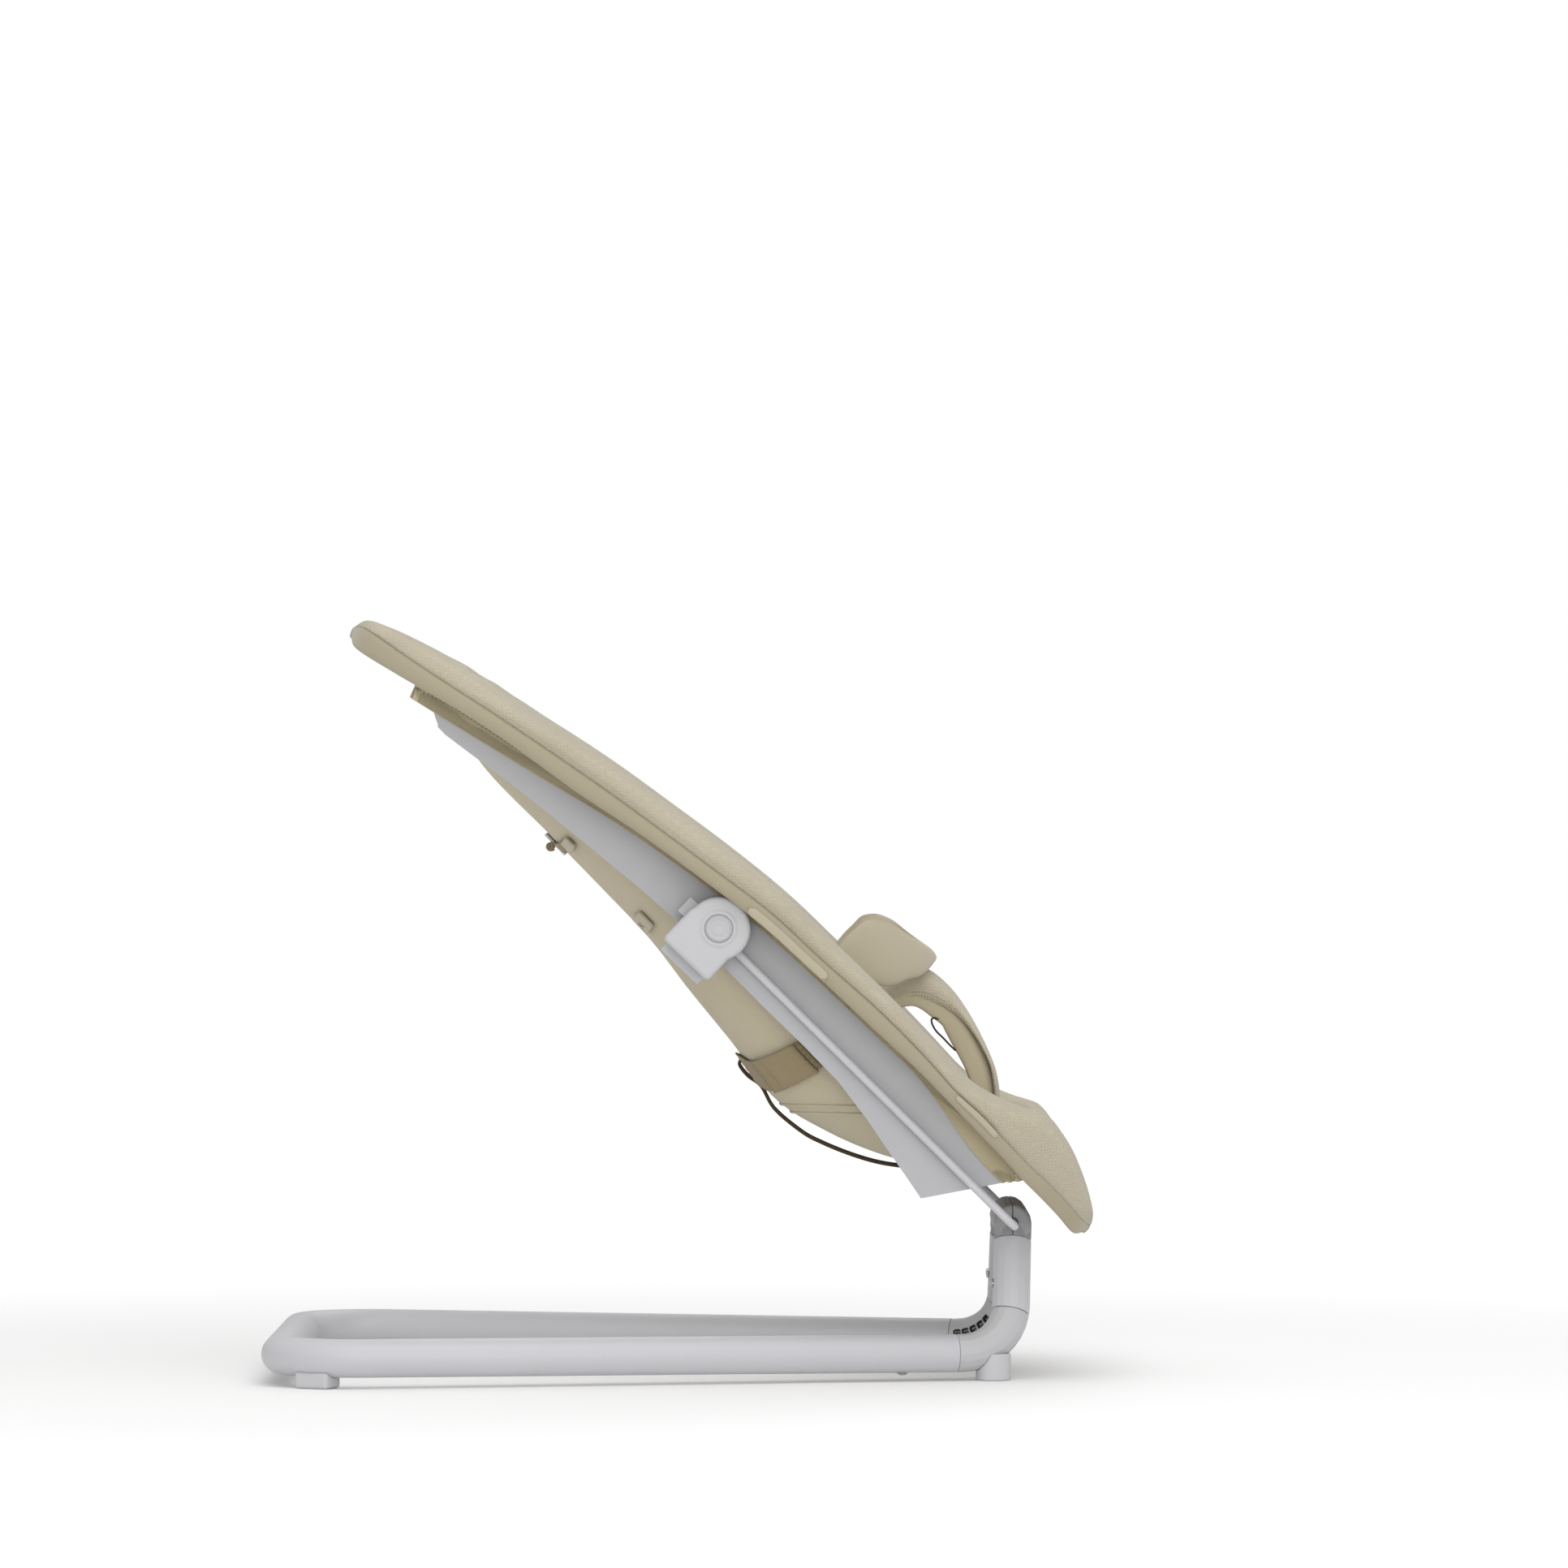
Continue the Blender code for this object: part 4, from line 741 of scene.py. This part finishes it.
def sling_patch(name, where, y, size, offset, thickness, replaced=()):
    """A small piece of cloth that lies on the back of the sling and follows it."""
    length, width = size
    rows = []
    for index in range(11):
        t = index / 5 - 1
        row = []
        for k in range(9):
            u = k / 4 - 1
            reach = (1 - 0.10 * max(abs(u), abs(t)) ** 6) / 2
            crown = 0.0006 * (1 - t ** 4) * (1 - u ** 4)
            row.append(sling_point(where + t * reach * length, y + u * reach * width, offset + crown))
        rows.append(row)
    patch = skin(name, rows, closed=False)
    thicken(patch, thickness)
    dress(patch, PLAIN, replaces=replaced)


def make_sling_trim():
    """Slider with its rolled webbing end, and two fabric tabs, on the back of the sling."""
    before, after = (sling_point(SLIDER_STATION + step, 0, 0.0060) for step in (-0.1, 0.1))
    heading = (after - before).normalized()
    outward = Vector((heading.z, 0, -heading.x))
    across = Vector((0, 1, 0))
    middle = (before + after) / 2
    for index, bar in enumerate((-0.0098, 0.0, 0.0098)):
        rings = [oblong(middle + heading * bar + across * y, heading, outward, 0.0030, 0.0013, 16)
                 for y in (-0.0175, -0.0170, -0.006, 0.006, 0.0170, 0.0175)]
        dress(skin("slider_bar_%d" % index, rings), PLASTIC,
              replaces=("webbing_slider",) if bar == 0.0 else ())
    for label, side in SIDES:
        edge = middle + across * (side * 0.0168)
        rings = [oblong(edge + heading * reach, across, outward, 0.0024, 0.0015, 16)
                 for reach in (-0.0128, -0.0122, 0.0, 0.0122, 0.0128)]
        dress(skin("slider_end_" + label, rings), PLASTIC)
    ribbon = []
    for index in range(73):
        t = index / 72
        angle = 2 * math.pi * 2.6 * t
        radius = 0.0040 - 0.0034 * t
        spot = middle + outward * (0.0046 + radius * math.sin(angle))
        spot += heading * (radius * math.cos(angle) - 0.0015)
        ribbon.append([spot + across * y for y in (-0.0200, -0.010, 0.0, 0.006, 0.0115)])
    roll = skin("slider_roll", ribbon, closed=False)
    thicken(roll, 0.0014)
    dress(roll, WEBBING, "seat", ("webbing_roll",))
    rows = []
    for index in range(25):
        t = index / 24
        y = -0.010 - 0.072 * t
        lift = 0.0054 + 0.0012 * math.sin(math.pi * t)
        where = SLIDER_STATION + 0.02 + 0.10 * t
        rows.append([sling_point(where + 0.07 * (k / 4 - 1), y, lift) for k in range(9)])
    tape = skin("slider_webbing", rows, closed=False)
    thicken(tape, 0.0012)
    dress(tape, WEBBING)
    sling_patch("slider_tab", SLIDER_STATION + 0.16, -0.086, (0.20, 0.018), 0.0068, 0.0022)
    sling_patch("sling_tab", TAB_STATION, TAB_Y, (0.30, 0.024), 0.0062, 0.0024, ("back_tab",))
    up = Vector((-0.5, -0.5, -0.7)).normalized()
    for index, lean in enumerate((-1, 1)):
        line = [sling_point(TAB_STATION + 0.045 * t, TAB_Y + 0.0030 * lean * t, 0.0084)
                for t in (-1, -0.5, 0, 0.5, 1)]
        thread = stitches("tab_stitch_%d" % index, line, up, 0.0020, 0.0024)
        dress(thread, THREAD_AND_CREASE_SHADE)


# ---------------- harness
WING_TOP = ((0.1340, 0.3720), (0.1400, 0.3850), (0.1485, 0.3960), (0.1565, 0.4040), (0.1636, 0.4110),
            (0.1719, 0.4134), (0.1810, 0.4127), (0.1927, 0.4076), (0.2040, 0.3988), (0.2157, 0.3901),
            (0.2252, 0.3831), (0.2290, 0.3775))
WING_LOW = ((0.1360, 0.3680), (0.1430, 0.3630), (0.1530, 0.3592), (0.1620, 0.3562), (0.1719, 0.3540),
            (0.1830, 0.3508), (0.1940, 0.3526), (0.2040, 0.3568), (0.2135, 0.3587), (0.2210, 0.3640),
            (0.2274, 0.3714), (0.2296, 0.3745))


def wing_reach(x):
    """Distance of a wing from the seat's middle plane: it curls round the child's waist."""
    t = min(max((0.2300 - x) / 0.096, 0.0), 1.0)
    return 0.012 + 0.084 * math.sin(math.pi / 2 * t ** 0.8)


def make_wings():
    for label, side in SIDES:
        top = smooth_curve(WING_TOP, 45)
        low = smooth_curve(WING_LOW, 45)
        rings = []
        for upper, lower in zip(top, low):
            reach = wing_reach((upper[0] + lower[0]) / 2)
            ahead = wing_reach((upper[0] + lower[0]) / 2 - 0.001) - reach
            heading = Vector((-0.001, side * ahead, 0)).normalized()
            outward = Vector((-heading.y, heading.x, 0)) * -side
            middle = Vector(((upper[0] + lower[0]) / 2, side * reach, (upper[1] + lower[1]) / 2))
            across = Vector((upper[0] - lower[0], 0, upper[1] - lower[1])) / 2
            half_width = max(across.length, 0.0015)
            thickness = 0.0050 * min(1.0, (half_width / 0.012) ** 0.5)
            rings.append(oblong(middle, across.normalized(), outward, half_width, thickness, 28, 0.75))
        wing = skin("harness_wing_" + label, rings)
        ends = (0, len(rings) - 1)
        held = grid_points(rings, lambda row, column: column in (0, 13, 14, 27) or row in ends)
        swell(wing, held, 5.0, 0.0035)
        soften(wing, 1)
        dress(wing, PLAIN, replaces=("harness_wings",) if side == LEFT else ())
        edge = [Vector((x, side * wing_reach(x), z)) for x, z in top[3:]]
        dress(tube("harness_wing_seam_" + label, edge, 0.0004, 8), PLAIN)


def make_wing_join():
    """The short belt between the wings' inner ends, and the tab that ties it to the crotch pad."""
    path = smooth_curve(((0.2217, -0.030), (0.2240, -0.020), (0.2245, -0.010),
                         (0.2245, 0.010), (0.2240, 0.020), (0.2217, 0.030)), 31)
    across, up, ahead = Vector((0, 1, 0)), Vector((0, 0, 1)), Vector((1, 0, 0))
    belt = skin("harness_belt", [oblong(Vector((x, y, 0.3760)), up, ahead, 0.0052, 0.0025) for x, y in path])
    dress(belt, PLAIN)
    tab = skin("harness_tab", [oblong(Vector((0.2232, 0, z)), across, ahead, 0.011, 0.0010)
                               for z in (0.3640, 0.3660, 0.3690, 0.3725)])
    dress(tab, PLAIN)


# The crotch pad from the side (x, z): its crown, and the lower edges of its flanks and of its lining.
CROTCH_OUTER = ((0.1760, 0.3460), (0.1860, 0.3535), (0.1960, 0.3595), (0.2060, 0.3635), (0.2160, 0.3655),
                (0.2235, 0.3650), (0.2338, 0.3580), (0.2445, 0.3477), (0.2536, 0.3360), (0.2653, 0.3170),
                (0.2770, 0.2935), (0.2844, 0.2752), (0.2877, 0.2576), (0.2880, 0.2440), (0.2860, 0.2330))
CROTCH_FLANK = ((0.1790, 0.3330), (0.1870, 0.3335), (0.1942, 0.3345), (0.2005, 0.3360), (0.2071, 0.3375),
                (0.2188, 0.3375), (0.2305, 0.3338), (0.2425, 0.3280), (0.2536, 0.3191), (0.2640, 0.3060),
                (0.2720, 0.2930), (0.2775, 0.2810), (0.2807, 0.2690), (0.2829, 0.2473), (0.2815, 0.2330))
LINING_FLANK = ((0.1930, 0.3290), (0.2003, 0.3311), (0.2099, 0.3318), (0.2179, 0.3282), (0.2273, 0.3208),
                (0.2356, 0.3142), (0.2400, 0.3060), (0.2450, 0.2965), (0.2518, 0.2841), (0.2570, 0.2740),
                (0.2613, 0.2628), (0.2650, 0.2480), (0.2660, 0.2330))


def saddle(crowns, flanks, half_width, thickness, steepness):
    """Sections of a pad that arches over its crown line and turns down to its flank lines."""
    rings = []
    for index, (crown, foot) in enumerate(zip(crowns, flanks)):
        t = index / (len(crowns) - 1)
        reach = half_width * (1 - 0.20 * math.sin(math.pi * t))
        crown, foot = Vector((crown[0], 0, crown[1])), Vector((foot[0], 0, foot[1]))
        inward = foot - crown
        depth = max(inward.length, 0.004)
        inward.normalize()
        upper, lower = [], []
        for k in range(29):
            share = k / 14 - 1
            angle = share * math.pi / 2
            y = reach * math.copysign(abs(math.sin(angle)) ** 0.75, share)
            fall = depth * (1 - abs(math.cos(angle)) ** steepness)
            thick = thickness * (1 - 0.5 * abs(share) ** 8)
            upper.append(crown + Vector((0, y, 0)) + inward * fall)
            lower.append(crown + Vector((0, y * (1 - 1.6 * thick / reach), 0)) + inward * (fall + 1.6 * thick
                         * (1 - abs(share) ** 3)))
        rings.append(upper + lower[::-1])
    return rings


# Columns of a saddle's sections that lie at its two edges.
PAD_EDGES = (0, 1, 27, 28, 29, 56, 57)


def make_crotch_pad():
    """A knitted saddle-shaped pad over a smooth lining, joined by a stitched seam."""
    count = 60
    half_width = 0.044
    outer = smooth_curve(CROTCH_OUTER, count)
    flank = smooth_curve(CROTCH_FLANK, count)
    inner = smooth_curve(LINING_FLANK, count)
    below = [(a[0] * 0.80 + b[0] * 0.20, a[1] * 0.80 + b[1] * 0.20) for a, b in zip(outer, flank)]
    for name, rings, material, replaced, fill in (
            ("crotch_pad_top", saddle(outer, flank, half_width, 0.0040, 0.62), KNIT, ("crotch_pad",), 0.6),
            ("crotch_lining", saddle(below, inner, 0.0425, 0.0034, 0.45), LINING, (), 0.5)):
        pad = skin(name, rings)
        held = grid_points(rings, lambda row, column: column in PAD_EDGES or row in (0, count - 1))
        swell(pad, held, 4.0, 0.0020)
        soften(pad, 1)
        dress(pad, material, replaces=replaced)
    for label, side in SIDES:
        for row, share in (("edge", 0.86), ("upper", 0.74)):
            line = []
            for index in range(16, count):
                crown = Vector((outer[index][0], 0, outer[index][1]))
                foot = Vector((flank[index][0], 0, flank[index][1]))
                reach = half_width * (1 - 0.20 * math.sin(math.pi * index / (count - 1)))
                line.append(crown.lerp(foot, share) + Vector((0, side * (reach + 0.0004), 0)))
            thread = stitches("crotch_stitch_%s_%s" % (row, label), line, Vector((0, side, 0)),
                              0.0020, 0.0030, 0.00034)
            dress(thread, THREAD)


def make_elastic_loop():
    strand = ((0.2330, -0.0330, 0.3200), (0.2290, -0.0350, 0.3215), (0.2262, -0.0356, 0.3205),
              (0.2265, -0.0358, 0.3165), (0.2300, -0.0358, 0.3100), (0.2360, -0.0356, 0.3040),
              (0.2431, -0.0350, 0.2966), (0.2480, -0.0330, 0.2920))
    loop = tube("elastic_cord", smooth_curve(strand, 60), 0.0009, 10)
    dress(loop, ELASTIC, "seat", ("elastic_loop",))


# ---------------- tubes, wire and hubs
def make_wire():
    ends = [(hub_place(0.012, 0.034, side * WIRE_Y), hub_place(0.012, 0.0039, side * WIRE_Y),
             Vector((BRIDGE.x, side * WIRE_Y, BRIDGE.z))) for side in (LEFT, RIGHT)]
    path = rounded_path([*ends[0], *reversed(ends[1])], (0.009, 0.012, 0.012, 0.009), 14)
    dress(tube("wire_smooth", path, WIRE_R, 24), PAINT, "carrier", ("spring_wire",))


def make_base_tube():
    corners = [Vector((REAR_CORNER.x, side * REAR_CORNER.y, REAR_CORNER.z)) for side in (LEFT, RIGHT)]
    ends = [Vector((RAIL_END.x, side * RAIL_END.y, RAIL_END.z)) for side in (LEFT, RIGHT)]
    heading = (ends[0] - corners[0]).normalized()
    start = ends[0] - heading * 0.0003
    finish = Vector((start.x, -start.y, start.z))
    path = rounded_path([start, *corners, finish], (REAR_CORNER_R, REAR_CORNER_R), 28)
    loop = tube("base_loop", path, TUBE_R, 48)
    bevel = loop.modifiers.new("ends", "BEVEL")
    bevel.width = 0.0007
    bevel.segments = 3
    bevel.angle_limit = math.radians(60)
    dress(loop, PAINT, "base", ("base_tube",))


def make_pocket_shade(label, side):
    """Dark sheets inside the five pockets of an elbow: painted shade in the recesses."""
    corner = Vector((BEND_CORNER.x, side * BEND_CORNER.y, BEND_CORNER.z))
    rail = (Vector((RAIL_END.x, side * RAIL_END.y, RAIL_END.z)) - corner).normalized()
    post = (Vector((POST_TOP.x, side * POST_TOP.y, POST_TOP.z)) - corner).normalized()
    half = rail.angle(post) / 2
    centre = corner + (rail + post).normalized() * (BEND_R / math.sin(half))
    start = corner + rail * (BEND_R / math.tan(half)) - centre
    axis = rail.cross(post).normalized()
    inboard = axis if axis.y * side < 0 else -axis
    for index in range(5):
        point = centre + Matrix.Rotation(-math.radians(4.5 + 11.6 * index), 3, axis) @ start
        outward = (point - centre).normalized()
        travel = inboard.cross(outward).normalized()
        tilt = Matrix.Rotation(-POCKET_TILT, 3, travel)
        facing, aside = tilt @ inboard, tilt @ outward
        corners = [(-0.0033, -0.0037), (0.0033, -0.0037), (0.0033, 0.0037), (-0.0033, 0.0037)]
        rings = [[point + travel * a * share + aside * b * share + facing * height for a, b in corners]
                 for share, height in ((1.0, 0.0158), (0.98, 0.0120), (0.95, 0.0094), (0.40, 0.0093))]
        tray = skin("elbow_pocket_%s_%d" % (label, index), rings, capped=False)
        thicken(tray, 0.0002)
        dress(tray, DARK_PLASTIC_AND_POCKET_SHADE, "base")


def make_cap(label, side):
    """The round disc of a hub, with a plain raised ring and a dished middle."""
    profile = [(0.0030, 0.0013), (0.0040, 0.0014), (0.0047, 0.0020), (0.0056, 0.0020), (0.0062, 0.0014),
               (0.0072, 0.0012), (0.0083, 0.0013), (0.0088, 0.0020), (0.0096, 0.0023), (0.0103, 0.0021),
               (0.0108, 0.0013), (0.0124, 0.0015), (0.0124, 0.0)]
    centre = Vector((HUB.x, side * HUB_FACE, HUB.z))
    rings = []
    for radius, height in profile:
        rings.append([centre + Vector((radius * math.cos(2 * math.pi * k / 64), side * height,
                                       radius * math.sin(2 * math.pi * k / 64))) for k in range(64)])
    dress(skin("hub_disc_" + label, rings), PLASTIC, "carrier", ("hub_cap_" + label,))


def round_edges(node, width):
    """Round a frame node's sharp edges where they show."""
    bevel = NODES[node].modifiers.new("edges", "BEVEL")
    bevel.width = width
    bevel.segments = 3
    bevel.limit_method = "ANGLE"
    bevel.angle_limit = math.radians(40)


def melt_edges(node, voxel, rounds):
    """Soften a moulded shell all over: even cells first, then a few rounds of smoothing."""
    cells = NODES[node].modifiers.new("cells", "REMESH")
    cells.mode = "VOXEL"
    cells.voxel_size = voxel
    cells.use_smooth_shade = True
    smooth = NODES[node].modifiers.new("melt", "SMOOTH")
    smooth.factor = 0.5
    smooth.iterations = rounds


def dress_frame():
    """Materials and softer edges for the frame nodes that keep their shape."""
    finishes = {"painted_tube": PAINT, "grey_plastic": PLASTIC, "dark_plastic": DARK_PLASTIC_AND_POCKET_SHADE,
                "spring_steel": STEEL, "steel": STEEL, "panel": PANEL, "foot_rubber": FOOT,
                "sand_fabric": PLAIN, "mesh_fabric": MESH, "webbing": WEBBING}
    slots = {entry["node"]: entry["material_slot"] for entry in frame["record"]["subparts"]}
    for name, node in NODES.items():
        node.data.materials.clear()
        node.data.materials.append(finishes[slots[name]])
    shells = (("hub_outer_", 0.0007, 10), ("hub_inner_", 0.0006, 3), ("release_button_", 0.0005, 3),
              ("elbow_", 0.0008, 3), ("post_", 0.0008, 3), ("foot_front_", 0.0006, 3),
              ("foot_rear_", 0.0006, 4))
    for label, _ in SIDES:
        for shell, voxel, rounds in shells:
            melt_edges(shell + label, voxel, rounds)
        round_edges("side_panel_" + label, 0.0011)
    for half in ("front", "rear"):
        melt_edges("bridge_%s_shell" % half, 0.0008, 3)
        # The bridge shells take the darker grey copy: painted shade of the seat above them.
        NODES["bridge_%s_shell" % half].data.materials[0] = BRIDGE_PAINTED_SHADE


# ---------------- studio
def make_floor():
    """A pale floor that fades into the white backdrop."""
    bm = bmesh.new()
    bmesh.ops.create_grid(bm, x_segments=1, y_segments=1, size=30.0)
    floor = finish_mesh("studio_floor", bm, smooth=False)
    made, tree, shader = surface("pale_floor", (0.93, 0.93, 0.93), 0.9)
    place = object_place(tree)
    tree.links.new(mix(tree, tone(tree, place, 2.0), (0.92, 0.92, 0.92), (0.94, 0.94, 0.94)),
                   shader.inputs["Base Color"])
    distance = add(tree, "VectorMath", ((0, place),), operation="LENGTH").outputs["Value"]
    far = add(tree, "MapRange", ((0, distance), (1, 0.7), (2, 1.7), (3, 0.0), (4, 1.0)),
              interpolation_type="SMOOTHSTEP").outputs[0]
    glow = add(tree, "Emission", (("Color", (1.0, 1.0, 1.0, 1.0)), ("Strength", 1.02)))
    blend = add(tree, "MixShader", ((0, far), (1, shader.outputs[0]), (2, glow.outputs[0])))
    tree.links.new(blend.outputs[0], tree.nodes["Material Output"].inputs["Surface"])
    floor.data.materials.append(made)


def make_world():
    """Soft light from all round, stronger from above, behind a white backdrop."""
    world = bpy.data.worlds.new("studio")
    bpy.context.scene.world = world
    world.use_nodes = True
    tree = world.node_tree
    output = tree.nodes["World Output"]
    ambient = tree.nodes["Background"]
    ambient.inputs["Color"].default_value = (1.0, 1.0, 1.0, 1.0)
    height = add(tree, "SeparateXYZ", ((0, add(tree, "TexCoord").outputs["Generated"]),)).outputs[2]
    softbox = add(tree, "MapRange", ((0, height), (1, 0.0), (2, 1.0), (3, 0.50), (4, 0.86)))
    tree.links.new(softbox.outputs[0], ambient.inputs["Strength"])
    backdrop = add(tree, "Background", (("Color", (1.0, 1.0, 1.0, 1.0)), ("Strength", 1.0)))
    seen = add(tree, "LightPath").outputs["Is Camera Ray"]
    choice = add(tree, "MixShader", ((0, seen), (1, ambient.outputs[0]), (2, backdrop.outputs[0])))
    tree.links.new(choice.outputs[0], output.inputs["Surface"])


def make_lights():
    """Three square softboxes aimed at the middle of the seat: (name, place, size, power)."""
    aim = Vector((0.0, 0.0, 0.3))
    for name, place, size, power in (("key", (0.2, -1.4, 3.0), 2.4, 30.0),
                                     ("front_fill", (0.4, -4.2, 1.2), 2.4, 45.0),
                                     ("back_rim", (0.6, 2.6, 2.4), 1.8, 12.0)):
        lamp = bpy.data.lights.new(name, "AREA")
        lamp.shape = "SQUARE"
        lamp.size = size
        lamp.energy = power
        holder = add_object(name, lamp)
        holder.location = place
        holder.rotation_euler = (aim - Vector(place)).to_track_quat("-Z", "Y").to_euler()


def make_camera():
    """A level camera 8 m off the seat's right side."""
    camera = bpy.data.cameras.new("camera")
    camera.lens = 202.8
    camera.sensor_width = 36.0
    camera.clip_end = 100.0
    eye = add_object("camera", camera)
    eye.location = (0.093, -8.0, 0.5325)
    eye.rotation_euler = (math.pi / 2, 0.0, 0.0)
    bpy.context.scene.camera = eye
    bpy.context.scene.view_settings.view_transform = "Standard"


# ---------------- the whole scene
make_floor()
make_world()
make_lights()
make_camera()
dress_frame()
make_base_tube()
make_wire()
for side_label, side_sign in SIDES:
    make_cap(side_label, side_sign)
    make_pocket_shade(side_label, side_sign)
make_cover()
make_side_band()
make_flaps()
make_ribbed_bands()
make_sling()
make_straps()
make_sling_trim()
make_wings()
make_wing_join()
make_crotch_pad()
make_elastic_loop()
